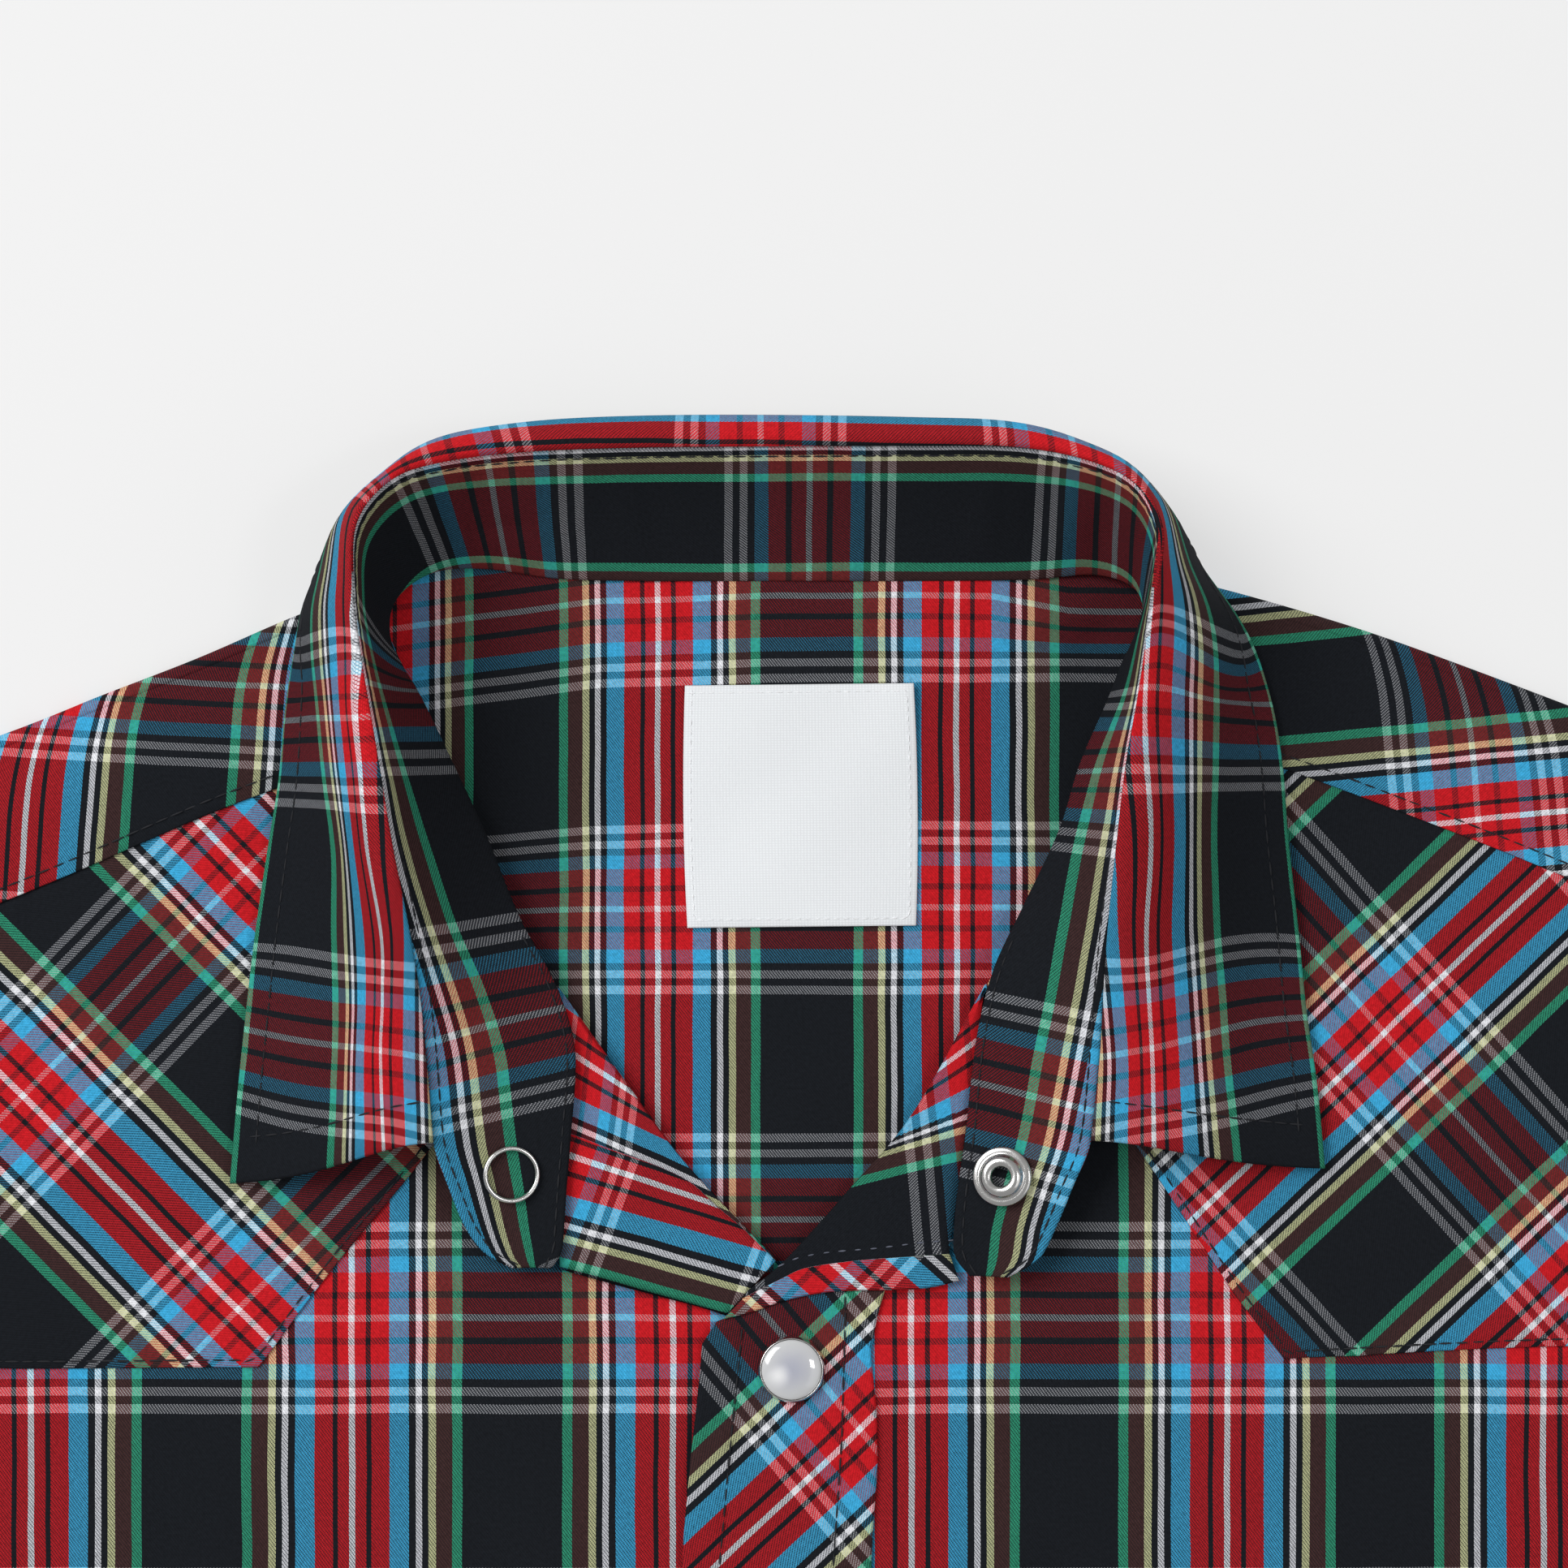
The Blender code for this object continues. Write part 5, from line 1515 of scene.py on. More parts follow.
@dataclass(frozen=True)
class Lapel:
    """The edge of a front turned out beside the V: its inside, then a step down to the strip sewn to it."""

    half: Half
    fold: tuple
    step: tuple
    free: tuple
    inside: Fan
    strip: Fan | Grain


FACING_SEAM = ((1.1, -119.3), (3.9, -118.1), (7.7, -117.3), (12.1, -116.8), (17.3, -116.4), (21.4, -115.9),
               (25.8, -115.4), (31, -115.0))
LABEL_CENTRE = (4.5, -38.9)
LABEL_SIZE = (40.2, 42.6)
LABEL_TILT = math.radians(0.6)
LABEL_RISE = 0.75        # the label's face over the lining's

LAPELS = (
    Lapel(
        half=RIGHT,
        fold=((-37.9, -71.2), (-24, -90.6), (-14.9, -102.5), (0.1, -118.4)),
        step=((-38.2, -95.6), (-34.5, -96.8), (-27.5, -99.5), (-20.8, -101.9), (-14.7, -104.9),
              (-10.3, -108.9), (-5.9, -112.6), (0.2, -118.6)),
        free=((-37.7, -120.1), (-25, -123.6), (-13.6, -126.6), (-8.6, -128.2)),
        inside=Fan(-36, ((-20, -60, -36), (0, -81.9, -33.5), (2.85, -85.3, -30), (8.1, -91.3, -23.5),
                         (11.5, -94.6, -24.5), (30, -113, -20)), -36.9, -93, -0.12, 1.33),
        strip=Fan(-36, ((-20, -80, -20), (0, -100, -18.9), (2.85, -103.3, -17.1), (8.1, -108.9, -15.2),
                        (11.5, -112.55, -16), (13.75, -114.8, -16), (18.15, -119.15, -15.6), (30, -131, -15)),
                  -42.3, -109, -0.36, 1.07),
    ),
    Lapel(
        half=LEFT,
        fold=((36.8, -70.6), (24.1, -93.1), (12.9, -106.4), (4.9, -115.3), (0.3, -120.0), (-5.2, -124.4)),
        step=((30.6, -117.3), (25, -117.7), (14.85, -118.4), (5.6, -119.7), (1.2, -121.6), (-5.4, -124.9)),
        free=((32.3, -122.1), (25.1, -123.5), (10, -124.0), (1.5, -125.6), (-3.3, -127.3), (-9.1, -128.8)),
        inside=Fan(33, ((-20, -62, 45), (0, -81.7, 37), (9.8, -92.2, 22), (11.5, -93.4, 20),
                        (13.75, -95.5, 16.6), (18.15, -100, 13.8), (34, -115.7, 12)), 40.5, -108, 0.1, -1.0),
        strip=Grain(-41.0, (12.6, -121.2), (6.2, -115.1), 0.96, 1.04, 86.9),
    ),
)


@dataclass
class Trim:
    """The turned-out facings and the label."""

    finishes: Finishes
    body: Body
    roll: float = 0.9            # radius that a facing's fold is rolled to
    label_thickness: float = 0.5

    def make_lapel(self, lapel: Lapel) -> None:
        """One turned-out facing, whose fold edge rolls down to the front's own edge.

        Args:
            lapel: Its lines and its cloth.
        """
        fold, step, free = Line(lapel.fold), Line(lapel.step), Line(lapel.free)
        cols, col_drop = nosed(30, fold.length, SHEET / 2)
        base = self.body.front_height(lapel.half)
        a, b, c = fold.at(cols), step.at(cols), free.at(cols)
        away = a - b
        away /= np.maximum(np.linalg.norm(away, axis=1, keepdims=True), 1e-6)
        rows, places = [], []

        def add(plan: Array, rise: float, cloth: Fan | Grain, nudge: float = 0.0) -> None:
            """Adds a row of points.

            Args:
                plan: Their places in plan.
                rise: How far over the turned cloth they lie.
                cloth: What gives their places in the cloth.
                nudge: What Y gains.
            """
            x, y = plan[:, 0], plan[:, 1]
            rows.append(np.stack((x, y + nudge, base(x, y) + FOLD_RISE + rise), axis=1))
            places.append(cloth.uv(x, y))

        for angle in np.radians((0, 25, 50, 75)):
            fall = self.roll * (1 - math.sin(angle)) * 1.4
            add(a + away * (self.roll * math.cos(angle) - 0.3), -fall, lapel.inside)
        for t in np.linspace(0.0, 1.0, 20):
            add(a + (b - a) * t, 0.0, lapel.inside)
        add(b, 0.5, lapel.strip, -0.05)
        for t in np.linspace(0.0, 1.0, 16)[1:]:
            add(b + (c - b) * t, 0.45, lapel.strip)
        drop = edge_drop(np.zeros(len(rows)), col_drop)
        piece = grid_shell(f"{lapel.half.name}_turned_facing", np.stack(rows), np.stack(places), drop, SHEET,
                           self.finishes.tartan)
        dress_cloth(piece, f"{lapel.half.name}_facing")

    def label_face(self, u: Array, v: Array) -> Array:
        """Points on the label's face at shares of its width and height, each from -0.5 to 0.5.

        Args:
            u: Shares of the width.
            v: Shares of the height.

        Returns:
            The points.
        """
        bow = 1.0 + 0.025 * (1.0 - (2 * v) ** 2)
        dx, dy = u * LABEL_SIZE[0] * bow, v * LABEL_SIZE[1]
        x = LABEL_CENTRE[0] + dx * math.cos(LABEL_TILT) - dy * math.sin(LABEL_TILT)
        y = LABEL_CENTRE[1] + dx * math.sin(LABEL_TILT) + dy * math.cos(LABEL_TILT)
        curl = 0.7 * np.exp(-((np.hypot(dx - LABEL_SIZE[0] / 2, dy - LABEL_SIZE[1] / 2)) / 7.0) ** 2)
        ripple = 0.2 * np.sin(x / 6.3 + 0.4) * np.cos(y / 8.1)
        return np.stack((x, y, lining_face(x, y) + LABEL_RISE + ripple + curl), axis=-1)

    def make_label(self) -> None:
        """The woven label, sewn to the yoke's inner layer and left bare."""
        cols, col_drop = nosed(26, LABEL_SIZE[0], 0.3)
        rows, row_drop = nosed(26, LABEL_SIZE[1], 0.3)
        u, v = np.meshgrid(cols - 0.5, rows - 0.5)
        uv = np.stack((u * LABEL_SIZE[0], v * LABEL_SIZE[1]), axis=-1) * MM
        piece = grid_shell("bare_label", self.label_face(u, v), uv, edge_drop(row_drop, col_drop),
                           self.label_thickness, self.finishes.label)
        dress(piece, ("neck_label",))

    def make(self) -> None:
        """Makes the facings and the label."""
        for lapel in LAPELS:
            self.make_lapel(lapel)
        self.make_label()


@dataclass
class Arms:
    """Sleeves and cuffs, flattened tubes that lie down and out from the armholes."""

    finishes: Finishes
    length: float = 550.0
    slope: float = math.radians(60.0)  # below the horizontal
    cuff_width: float = 116.0
    cuff_depth: float = 62.0
    seam_gap: float = 0.5    # between the armhole's seam line and the sleeve
    tuck: float = 1.1        # how far the head goes in towards the body at its ends
    head_tuck: float = 0.5   # how much further halfway down the armhole
    under_tuck: float = 0.5  # how far it goes up, under the arm
    underside: float = 0.03  # how far over the table the lower wall lies
    ring_points: int = 96

    def edges(self, sign: int) -> tuple[list[Array], list[Array]]:
        """Three points of the sleeve's upper edge and of its underarm edge.

        Args:
            sign: The half's sign.

        Returns:
            Both edges, each from the armhole to the wrist.
        """
        run = np.array((math.cos(self.slope), -math.sin(self.slope)))
        across = np.array((-math.sin(self.slope), -math.cos(self.slope)))
        shoulder = np.array(ARMHOLE[0]) + run * self.seam_gap
        armpit = np.array(ARMHOLE[-1]) + np.array((2 * self.seam_gap, 0.0))
        wrist = shoulder + run * self.length
        inside = wrist + across * self.cuff_width
        bow = shoulder + run * self.length * 0.3 - across * 7.0
        bend = armpit + (inside - armpit) * 0.45 + across * 4.0
        flip = np.array((sign, 1.0))
        return [p * flip for p in (shoulder, bow, wrist)], [p * flip for p in (armpit, bend, inside)]

    def heading(self, half: Half) -> Array:
        """The way that a sleeve points in plan."""
        return np.array((half.sign * math.cos(self.slope), -math.sin(self.slope)))

    def ring(self, start: Array, end: Array, bow: Callable[[Array], Array | float], wall: float,
             puff: Callable[[Array], Array]) -> Array:
        """One ring of a flattened tube.

        Args:
            start: Its upper end in plan.
            end: Its lower end in plan.
            bow: How far the ring strays in plan from a straight line, at shares of its width.
            wall: The wall's thickness.
            puff: How far the upper wall stands up, at shares of its width.

        Returns:
            One point for each step round the tube.
        """
        angle = np.linspace(0.0, 2.0 * math.pi, self.ring_points, endpoint=False)
        share = 0.5 - 0.5 * np.cos(angle)
        middle = wall + GAP / 2.0
        lift = np.abs(np.sin(angle)) ** 0.35
        z = np.where(angle < math.pi, middle * (1 + lift) + puff(share) * lift,
                     self.underside + middle * (1 - lift))
        place = start + (end - start) * share[:, None] + bow(share)
        return np.concatenate((place, z[:, None]), axis=1)

    def tube(self, name: str, rings: Array, length: float, wall: float) -> Piece:
        """A tube wall through rings, with its cloth's grain along its length.

        Args:
            name: The piece's name.
            rings: Rings by points by 3.
            length: Length of its cloth.
            wall: The wall's thickness.

        Returns:
            The new object.
        """
        rows, cols = rings.shape[:2]
        width = np.linalg.norm(rings[:, cols // 2, :2] - rings[:, 0, :2], axis=1)[:, None]
        across = -0.5 * np.cos(np.linspace(0.0, 2.0 * math.pi, cols, endpoint=False)) * width
        along = np.broadcast_to(np.linspace(0.0, length, rows)[:, None], across.shape)
        uv = np.stack((across, along), axis=-1) * MM
        outward = np.zeros_like(rings)
        outward[..., 2] = np.where(rings[..., 2] > rings[..., 2].mean(axis=1, keepdims=True), 1.0, -1.0)
        return shell(name, rings.reshape(-1, 3), grid_quads(rows, cols, closed=True), uv.reshape(-1, 2),
                     np.zeros(rows * cols), wall, self.finishes.tartan, outward.reshape(-1, 3))

    def make_sleeve(self, half: Half) -> None:
        """A long sleeve with folds round the elbow and below the armhole.

        Args:
            half: The half it belongs to.
        """
        top, low = self.edges(half.sign)
        curve = Line(beside(np.array(ARMHOLE), self.seam_gap) * (half.sign, 1.0))
        chord = curve.at(1.0) - curve.at(0.0)
        rings = []
        for t in np.linspace(0.0, 1.0, 110):
            start, end = ((1 - t) ** 2 * a + 2 * t * (1 - t) * (2 * m - 0.5 * (a + b)) + t * t * b
                          for a, m, b in (top, low))

            def bow(share: Array, t: float = t) -> Array:
                """How the rings near the armhole follow its curve.

                Args:
                    share: Shares of the ring's width.
                    t: Share of the sleeve's length.

                Returns:
                    How far the ring strays in plan.
                """
                left = np.maximum(0.0, 1.0 - t / (0.45 * (1.0 - 0.75 * share))) ** 2
                head = curve.at(share) - curve.at(0.0) - chord * share[:, None]
                middle = np.sin(math.pi * share)
                head[:, 0] -= half.sign * (self.tuck + self.head_tuck * middle)
                head[:, 1] += self.under_tuck * middle * share
                return head * left[:, None]

            def puff(w: Array, t: float = t) -> Array:
                """How far the upper wall stands up, with its folds.

                Args:
                    w: Shares of the ring's width.
                    t: Share of the sleeve's length.

                Returns:
                    The height to add.
                """
                elbow = math.exp(-((t - 0.52) / 0.2) ** 2)
                wave = 0.9 * elbow * np.sin(math.pi * w) * np.cos(2 * math.pi * (3.2 * t - 1.1 * w))
                fine = 0.5 * np.sin(math.pi * w) * np.sin(2 * math.pi * (5.3 * t + 2.3 * w + half.seed))
                shoulder = 1.5 * (1 - min(1.0, t / 0.45)) ** 2 * (1 - smoothstep(0.1, 0.5, w))
                return 1.6 * np.sin(math.pi * w) ** 0.6 + wave + fine * (0.4 + elbow) + shoulder

            rings.append(self.ring(start, end, bow, CLOTH_SOLID, puff))
        piece = self.tube(f"{half.name}_sleeve_tube", np.array(rings), self.length, SHEET)
        dress_cloth(piece, f"{half.name}_sleeve")

    def make_cuff(self, half: Half) -> None:
        """A plain barrel cuff.

        Args:
            half: The half it belongs to.
        """
        top, low = self.edges(half.sign)
        rings = []
        for reach in np.linspace(GAP, GAP + self.cuff_depth, 26):
            down = self.heading(half) * reach
            rings.append(self.ring(top[2] + down, low[2] + down, lambda share: 0.0, LAYER,
                                   lambda share: 0.5 * np.sin(math.pi * share)))
        piece = self.tube(f"{half.name}_cuff_tube", np.array(rings), self.cuff_depth, BAND)
        dress_cloth(piece, f"{half.name}_cuff")

    def make(self) -> None:
        """Makes both sleeves and both cuffs."""
        for half in (RIGHT, LEFT):
            self.make_sleeve(half)
            self.make_cuff(half)


@dataclass
class Snaps:
    """Pearl snaps on the placket and the cuffs, and the bare ring and socket on the stand."""

    finishes: Finishes
    body: Body
    radius: float = 5.85
    rim: float = 0.5
    sides: int = 64
    count: int = 7               # on the placket
    top: tuple[float, float] = (2.9, -137.5)
    pitch: float = 84.0
    prong: tuple[float, float] = (-46.1, -103.3)
    socket: tuple[float, float] = (39.7, -103.6)
    cuff_z: float = 3.9          # foot of the cuffs' snaps

    def turned(self, name: str, centre: Array, normal: Array, profile: Sequence[tuple[float, float]],
               material: Material) -> Piece:
        """A round piece from a profile of (radius, height) turned about its axis.

        Args:
            name: The piece's name.
            centre: The foot of its axis.
            normal: The way that its axis points.
            profile: The radii and heights.
            material: The piece's finish.

        Returns:
            The new object.
        """
        axis = np.asarray(normal, dtype=float)
        axis /= np.linalg.norm(axis)
        side = np.cross((0.0, 1.0, 0.0), axis)
        side /= np.linalg.norm(side)
        other = np.cross(axis, side)
        angle = np.linspace(0.0, 2.0 * math.pi, self.sides, endpoint=False)
        around = np.cos(angle)[:, None] * side + np.sin(angle)[:, None] * other
        points: list = []
        rings = []
        for radius, height in profile:
            if radius == 0.0:
                rings.append([len(points)])
                points.append(centre + axis * height)
            else:
                rings.append(list(range(len(points), len(points) + self.sides)))
                points.extend(centre + around * radius + axis * height)
        solid = len(rings[0]) == 1
        faces = []
        for a, b in list(zip(rings, rings[1:])) + ([] if solid else [(rings[-1], rings[0])]):
            for k in range(self.sides):
                n = (k + 1) % self.sides
                if len(a) == 1:
                    faces.append((a[0], b[n], b[k]))
                elif len(b) == 1:
                    faces.append((a[k], a[n], b[0]))
                else:
                    faces.append((a[k], a[n], b[n], b[k]))
        local = (np.array(points) - centre) @ np.stack((side, other), axis=1) * MM
        return add_mesh(name, points, faces, material, local)

    def pearl_snap(self, stem: str, node: str, centre: Array) -> None:
        """A domed pearl set in a metal rim.

        Args:
            stem: What its pieces' names start with.
            node: What its solids' names start with.
            centre: The middle of its foot.
        """
        bore = self.radius - self.rim
        rim = ((bore, 0.3), (self.radius - 0.1, 0.0), (self.radius, 0.5), (self.radius, 1.0),
               (self.radius - 0.12, 1.4), (self.radius - 0.3, 1.75), (bore + 0.08, 1.95), (bore, 1.85))
        piece = self.turned(f"{stem}_rim", centre, (0, 0, 1), rim, self.finishes.nickel)
        dress(piece, (f"{node}_rim",))
        pearl, waist, rise = bore - 0.08, 1.55, 1.15
        turns = np.linspace(0.0, math.pi / 2, 14)[:-1]
        dome = [(0.0, 0.3), (pearl, 0.3), *((pearl * math.cos(a), waist + rise * math.sin(a)) for a in turns),
                (0.0, waist + rise)]
        piece = self.turned(f"{stem}_pearl_cap", centre, (0, 0, 1), dome, self.finishes.pearl)
        dress(piece, (f"{node}_pearl",))

    def tab_spot(self, rows: Sequence[CollarRow], x: float, y: float) -> tuple[float, Array]:
        """Height and normal of the stand's tab at a place on it.

        Args:
            rows: The tab's sections.
            x, y: The place in plan.

        Returns:
            The height and the normal.
        """
        low = min(range(len(rows) - 1), key=lambda k: abs(rows[k].neck[1] + rows[k + 1].neck[1] - 2 * y))
        a, b = rows[low], rows[low + 1]
        t = (y - a.neck[1]) / (b.neck[1] - a.neck[1])
        neck = np.array(a.neck) * (1 - t) + np.array(b.neck) * t
        roll = np.array(a.roll) * (1 - t) + np.array(b.roll) * t
        share = (x - neck[0]) / (roll[0] - neck[0])
        normal = np.cross(roll - neck, np.array(b.neck, dtype=float) - np.array(a.neck))
        normal *= np.sign(normal[2]) / np.linalg.norm(normal)
        return float(neck[2] + (roll[2] - neck[2]) * share), normal

    def make_stand_snaps(self) -> None:
        """The bare prong ring and the socket on the two tab ends."""
        z, normal = self.tab_spot((RIGHT_COLLAR[-1], *RIGHT_TAB), *self.prong)
        radius, wire, middle = 4.6, 0.45, 0.62
        ring = [(radius + wire * math.cos(a), middle + wire * math.sin(a))
                for a in np.linspace(0, 2 * math.pi, 14, endpoint=False)]
        piece = self.turned("prong_ring", np.array((*self.prong, z - 0.6)), normal, ring[::-1],
                            self.finishes.nickel)
        dress(piece, ("stand_ring_snap",))
        z, normal = self.tab_spot((LEFT_COLLAR[-1], *LEFT_TAB), *self.socket)
        socket = ((1.7, 0.0), (5.1, 0.0), (5.25, 0.2), (5.2, 0.55), (4.9, 0.75), (4.3, 0.8), (4.05, 0.75),
                  (3.8, 0.95), (3.6, 1.5), (3.3, 1.85), (2.7, 2.0), (2.1, 1.95), (1.8, 1.7), (1.7, 1.2))
        piece = self.turned("socket_disc", np.array((*self.socket, z - 0.1)), normal, socket[::-1],
                            self.finishes.nickel)
        dress(piece, ("stand_socket_snap",))

    def make(self, arms: Arms) -> None:
        """Makes every snap.

        Args:
            arms: The sleeves, for the places of the cuffs.
        """
        base = self.body.front_height(LEFT)
        for k in range(self.count):
            x, y = self.top[0], self.top[1] - self.pitch * k
            z = float(base(np.array([x]), np.array([y]))[0]) + PLACKET_RISE - 0.15
            self.pearl_snap(f"placket_{k + 1}", f"placket_snap_{k + 1}", np.array((x, y, z)))
        for half in (RIGHT, LEFT):
            top, low = arms.edges(half.sign)
            spot = top[2] + arms.heading(half) * (GAP + arms.cuff_depth / 2) + (low[2] - top[2]) * 0.2
            self.pearl_snap(f"{half.name}_cuff_stud", f"{half.name}_cuff_snap",
                            np.array((*spot, self.cuff_z)))
        self.make_stand_snaps()


# ---- sewing


def stitch_tree() -> Tree:
    """Geometry nodes that sew along a mesh's edges: one rounded stitch at each step.

    Returns:
        The node group, whose inputs are named for what they set.
    """
    tree = bpy.data.node_groups.new("stitch_row", "GeometryNodeTree")
    face = tree.interface
    face.new_socket("Geometry", in_out="INPUT", socket_type="NodeSocketGeometry")
    for label in ("Stitch Length", "Gap", "Thread Radius"):
        face.new_socket(label, in_out="INPUT", socket_type="NodeSocketFloat")
    face.new_socket("Seed", in_out="INPUT", socket_type="NodeSocketInt")
    face.new_socket("Finish", in_out="INPUT", socket_type="NodeSocketMaterial")
    face.new_socket("Geometry", in_out="OUTPUT", socket_type="NodeSocketGeometry")
    given = add_node(tree, "NodeGroupInput").outputs
    step = maths(tree, "ADD", given["Stitch Length"], given["Gap"])
    half = maths(tree, "MULTIPLY", given["Stitch Length"], 0.5)
    curve = add_node(tree, "GeometryNodeMeshToCurve", {"Mesh": given["Geometry"]})
    even = add_node(tree, "GeometryNodeResampleCurve", {"Curve": curve.outputs[0], "Length": step},
                    mode="LENGTH")
    ball = add_node(tree, "GeometryNodeMeshUVSphere", {"Segments": 8, "Rings": 6, "Radius": 1.0})
    shape = add_node(tree, "ShaderNodeCombineXYZ",
                     {0: given["Thread Radius"], 1: given["Thread Radius"], 2: half})
    stitch = add_node(tree, "GeometryNodeTransform", {"Geometry": ball.outputs[0], "Scale": shape.outputs[0]})
    along = add_node(tree, "GeometryNodeInputTangent")
    turn = add_node(tree, "FunctionNodeAlignRotationToVector", {"Vector": along.outputs[0]}, axis="Z")
    pull = add_node(tree, "FunctionNodeRandomValue", {2: 0.82, 3: 1.08, "Seed": given["Seed"]},
                    data_type="FLOAT")
    placed = add_node(tree, "GeometryNodeInstanceOnPoints",
                      {"Points": even.outputs[0], "Instance": stitch.outputs[0], "Rotation": turn.outputs[0],
                       "Scale": pull.outputs[1]})
    real = add_node(tree, "GeometryNodeRealizeInstances", {"Geometry": placed.outputs[0]})
    dyed = add_node(tree, "GeometryNodeSetMaterial",
                    {"Geometry": real.outputs[0], "Material": given["Finish"]})
    add_node(tree, "NodeGroupOutput", {0: dyed.outputs[0]})
    return tree


def inset(points: Sequence[tuple[float, float]], sign: int, distance: float, count: int,
          corners: Sequence[int] = ()) -> Array:
    """A count of plan points beside a line, at a distance on its shoulder side."""
    return beside(Line(points, corners).at(np.linspace(0.0, 1.0, count)), sign * distance)


@dataclass(frozen=True)
class Stitch:
    """The size of a thread's stitches: length, gap to the next one, and half of the thread's thickness."""

    length: float
    gap: float
    radius: float


@dataclass
class Seams:
    """Topstitching that shows, stitch by stitch."""

    finishes: Finishes
    body: Body
    collar: Collar
    trim: Trim
    lift: float = 0.07           # of a thread's middle over the cloth
    tab_y: float = -62.0         # below this, the stand's inner edge is stitched too

    def sew(self, name: str, tree: Tree, paths: Sequence[Array], stitch: Stitch, finish: Material) -> None:
        """Sews one thread along its paths.

        Args:
            name: The piece's name.
            tree: The stitching nodes.
            paths: N by 3 points in millimetres.
            stitch: The size of its stitches.
            finish: The thread's material.
        """
        points = (np.concatenate(paths) + SHIFT) * MM
        edges, start = [], 0
        for path in paths:
            edges += [(start + k, start + k + 1) for k in range(len(path) - 1)]
            start += len(path)
        mesh = bpy.data.meshes.new(name)
        mesh.from_pydata(points.tolist(), edges, [])
        piece = bpy.data.objects.new(name, mesh)
        bpy.context.collection.objects.link(piece)
        maker = piece.modifiers.new("stitches", "NODES")
        maker.node_group = tree
        values = {"Stitch Length": stitch.length * MM, "Gap": stitch.gap * MM,
                  "Thread Radius": stitch.radius * MM, "Seed": 7, "Finish": finish}
        for item in tree.interface.items_tree:
            if item.in_out == "INPUT" and item.name in values:
                maker[item.identifier] = values[item.name]
        graph = bpy.context.evaluated_depsgraph_get()
        sewn = bpy.data.meshes.new_from_object(piece.evaluated_get(graph))
        piece.modifiers.remove(maker)
        piece.data = sewn
        sewn.shade_smooth()
        dress(piece)

    def over(self, half: Half, plan: Array, rise: float) -> Array:
        """Points of a seam on a front, a given height over the front's face."""
        z = self.body.front_height(half)(plan[:, 0], plan[:, 1]) + rise + self.lift
        return np.column_stack((plan, z))

    def across(self, top: Array, rows: Array, distance: float, from_end: bool) -> Array:
        """Points at a distance from one edge of a collar piece, one in each section.

        Args:
            top: The piece's face.
            rows: The numbers of its sections.
            distance: From the edge, in millimetres.
            from_end: True for the edge where a section ends.

        Returns:
            The points.
        """
        found = []
        for row in top[rows]:
            row = row[::-1] if from_end else row
            reach = np.concatenate(([0.0], np.cumsum(np.linalg.norm(np.diff(row, axis=0), axis=1))))
            k = int(np.clip(np.searchsorted(reach, distance), 1, len(row) - 2))
            t = (distance - reach[k - 1]) / (reach[k] - reach[k - 1])
            found.append(row[k - 1] * (1 - t) + row[k] * t)
        return np.array(found) + (0.0, 0.0, self.lift)

    def collar_paths(self) -> list[Array]:
        """Topstitching of the leaf and of the stand with its tabs.

        Returns:
            The lines to sew.
        """
        leaf, stand = self.collar.leaf_top, self.collar.stand_top
        rows = np.arange(6, len(leaf) - 6)
        paths = [self.across(leaf, rows, 4.4, True)]
        paths += [leaf[row, 4:-5] + (0.0, 0.0, self.lift) for row in (rows[0], rows[-1])]
        rows = np.arange(3, len(stand) - 3)
        paths.append(self.across(stand, rows, 1.85, True))
        tabs = rows[stand[rows, 0, 1] < self.tab_y]
        for half in (RIGHT, LEFT):
            tab = tabs[np.sign(stand[tabs, 0, 0]) == half.sign]
            paths.append(self.across(stand, tab, 1.6, False))
        return paths

    def front_paths(self) -> list[Array]:
        """Topstitching of the yokes, the shoulders, the placket and the hems.

        Returns:
            The lines to sew.
        """
        paths = []
        for half in (RIGHT, LEFT):
            sign = half.sign
            paths.append(self.over(half, inset(half.yoke_edge, sign, 1.3, 240, (3,))[14:-4], YOKE_RISE))
            paths.append(self.over(half, inset(half.seam, sign, 1.5, 150)[28:-3], FOLD_RISE))
            x = sign * np.linspace(22.0, 248.0, 120)
            paths.append(self.over(half, np.column_stack((x, tail(x, FRONT_TAIL_Y) + 7.0)), 0.0))
        in_groove = PLACKET_RISE - 0.12
        for side, high in enumerate((-131.5, -126.0)):
            y = np.linspace(FRONT_TAIL_Y + 6.0, high, 400)
            paths.append(self.over(LEFT, np.column_stack((placket_seam_x(side, y), y)), in_groove))
        return paths

    def label_path(self) -> Array:
        """The stitching round the label, close to its edges.

        Returns:
            The line to sew.
        """
        reach = 0.5 - 1.3 / LABEL_SIZE[0]
        side = np.linspace(-reach, reach, 30)
        flat = np.full_like(side, reach)
        u = np.concatenate((side, flat, -side, -flat))
        v = np.concatenate((flat, -side, -flat, side))
        return self.trim.label_face(u, v) + (0.0, 0.0, 0.02)

    def make(self) -> None:
        """Sews everything."""
        tree = stitch_tree()
        self.sew("dark_topstitch", tree, self.collar_paths() + self.front_paths(), Stitch(2.5, 0.3, 0.18),
                 self.finishes.dark_thread)
        facing = self.over(LEFT, Line(FACING_SEAM).at(np.linspace(0.0, 1.0, 60)), FOLD_RISE)
        self.sew("facing_topstitch", tree, [facing], Stitch(1.3, 1.3, 0.16), self.finishes.pale_thread)
        self.sew("label_stitch", tree, [self.label_path()], Stitch(1.2, 0.5, 0.12),
                 self.finishes.label_thread)


# ---- floor, light and camera


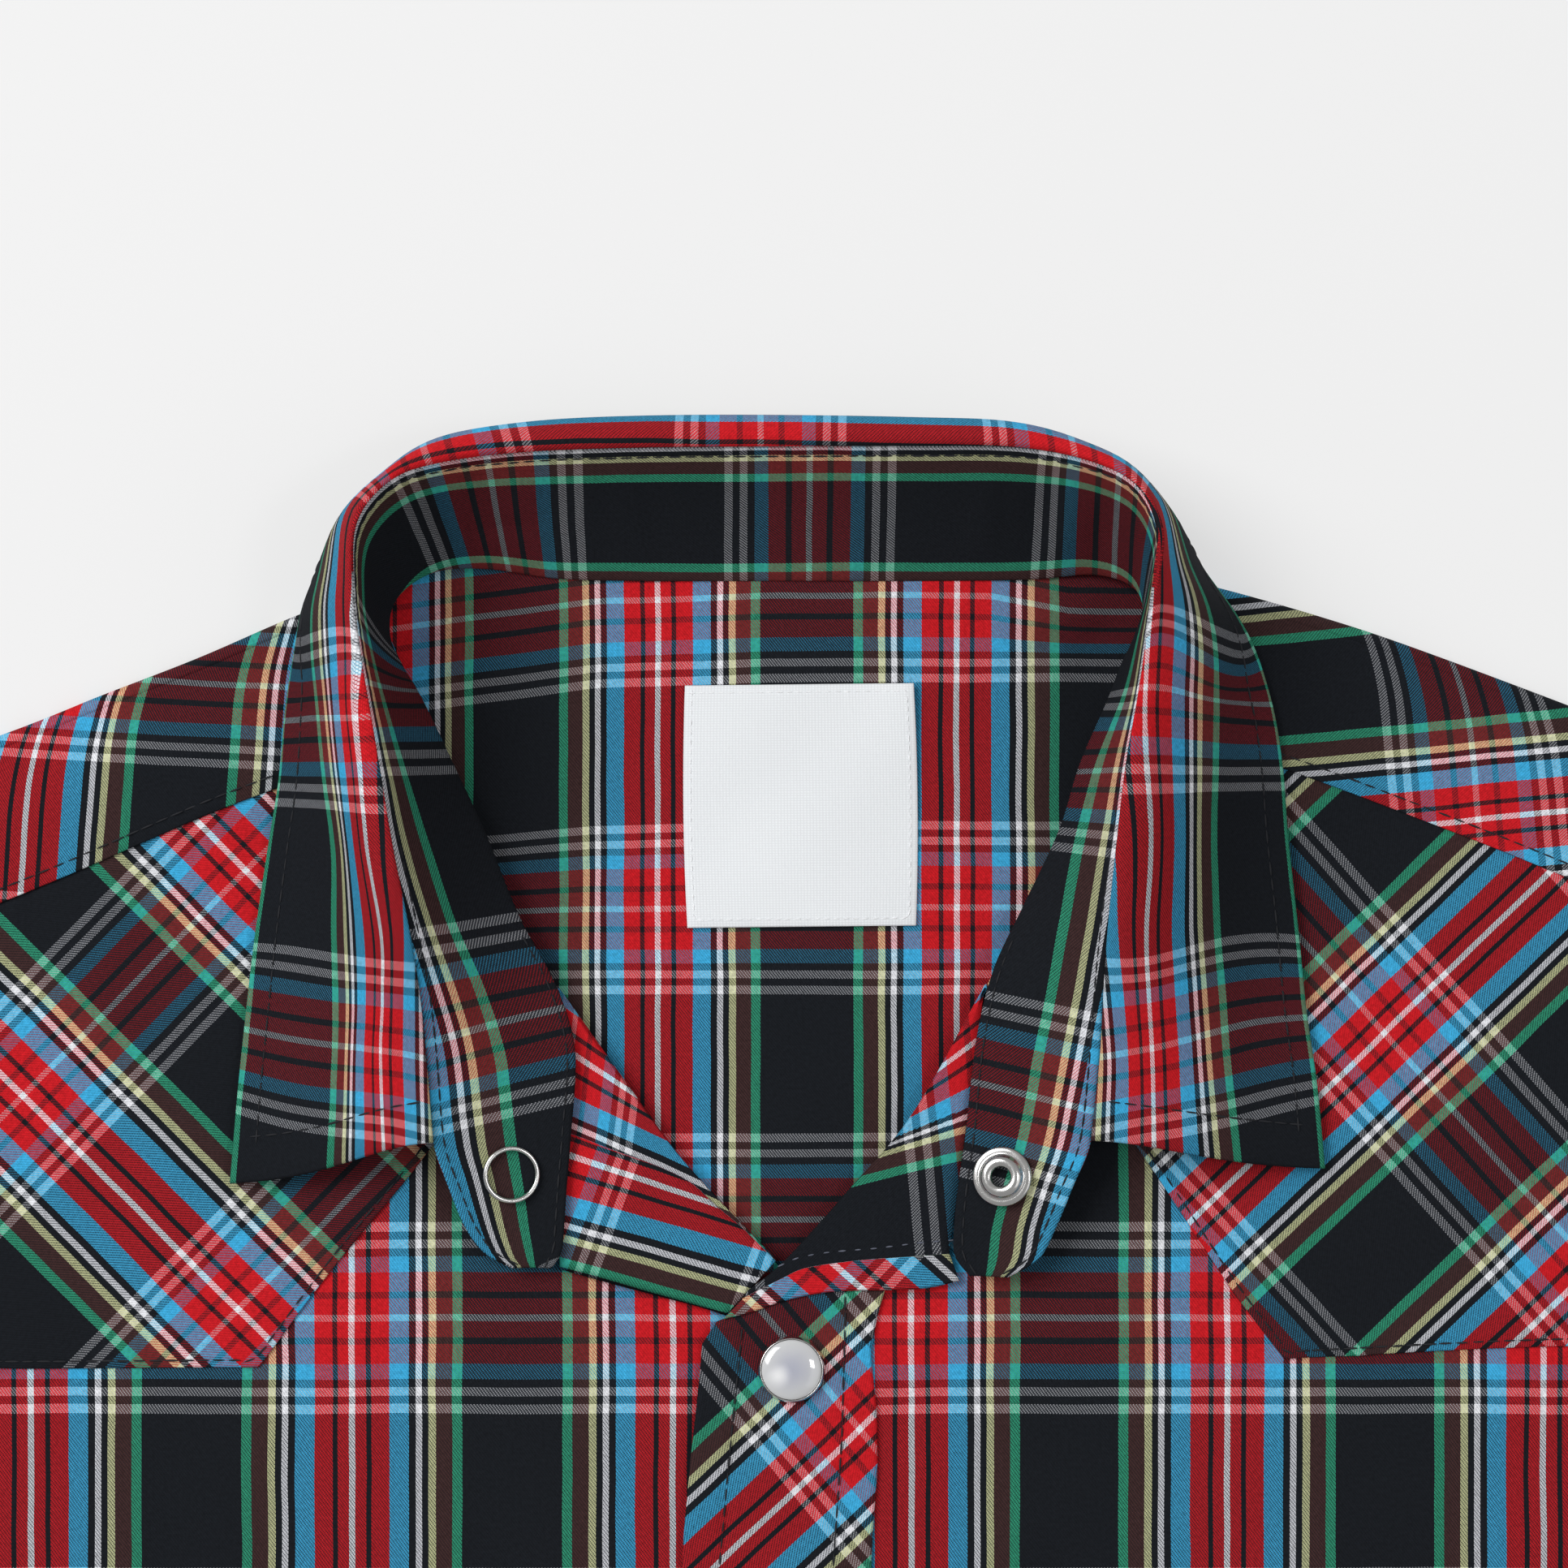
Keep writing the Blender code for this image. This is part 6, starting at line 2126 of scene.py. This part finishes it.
@dataclass(frozen=True)
class Studio:
    """A pale floor, soft light mostly from the viewer's left, and a camera straight above the neck."""

    target: tuple[float, float] = (0.0016, 0.3181)
    height: float = 1.2
    field_width: float = 0.276
    sensor_mm: float = 36.0
    floor_reach: float = 3.0
    floor_glow: float = 0.581    # the floor glows as a backlit sheet does, so that shadows on it stay faint
    room_light: float = 0.335

    def make(self) -> None:
        """Makes the floor, the lights and the camera."""
        mesh = bpy.data.meshes.new("floor")
        far = self.floor_reach
        mesh.from_pydata([(-far, -far, 0), (far, -far, 0), (far, far, 0), (-far, far, 0)], [], [(0, 1, 2, 3)])
        material = new_finish("pale_floor", {
            "Base Color": linear("#959595"), "Emission Color": linear("#FFFFFF"),
            "Emission Strength": self.floor_glow, "Roughness": 1.0, "Specular IOR Level": 0.0})[0]
        mesh.materials.append(material)
        floor = bpy.data.objects.new("floor", mesh)
        bpy.context.collection.objects.link(floor)

        scene = bpy.context.scene
        world = bpy.data.worlds.new("soft_room")
        world.use_nodes = True
        background = world.node_tree.nodes["Background"]
        background.inputs["Color"].default_value = linear("#FFFFFF")
        background.inputs["Strength"].default_value = self.room_light
        scene.world = world
        self.lamp("key", (-1.1, 0.9, 1.3), 1.0, 24.0)
        self.lamp("fill", (1.3, -0.2, 1.5), 1.4, 4.2)
        self.lamp("window", (0.63, 0.29, 1.3), 0.24, 2.0)

        camera = bpy.data.cameras.new("overhead")
        camera.sensor_width = self.sensor_mm
        camera.lens = self.sensor_mm * self.height / self.field_width
        camera.clip_start = 0.05
        camera.clip_end = 20.0
        holder = bpy.data.objects.new("overhead", camera)
        holder.location = (*self.target, self.height)
        bpy.context.collection.objects.link(holder)
        scene.camera = holder
        scene.view_settings.view_transform = "Standard"

    def lamp(self, name: str, place: tuple[float, float, float], size: float, power: float) -> None:
        """A soft square lamp that looks at the neck.

        Args:
            name: Its name.
            place: Where it hangs, in metres.
            size: The length of its side, in metres.
            power: In watts.
        """
        light = bpy.data.lights.new(name, "AREA")
        light.size = size
        light.energy = power
        holder = bpy.data.objects.new(name, light)
        holder.location = place
        x, y, z = np.array((*self.target, 0.0)) - np.array(place)
        holder.rotation_euler = (math.atan2(math.hypot(x, y), -z), 0.0, math.atan2(x, -y) + math.pi)
        bpy.context.collection.objects.link(holder)


def main() -> None:
    """Makes the shirt and its studio."""
    logging.basicConfig(level=logging.INFO, format="%(name)s: %(message)s")
    finishes = Finishes()
    body = Body(finishes)
    body.make()
    collar = Collar(finishes)
    collar.make()
    trim = Trim(finishes, body)
    trim.make()
    arms = Arms(finishes)
    arms.make()
    Snaps(finishes, body).make(arms)
    Seams(finishes, body, collar, trim).make()
    Studio().make()


if __name__ == "__main__":
    main()
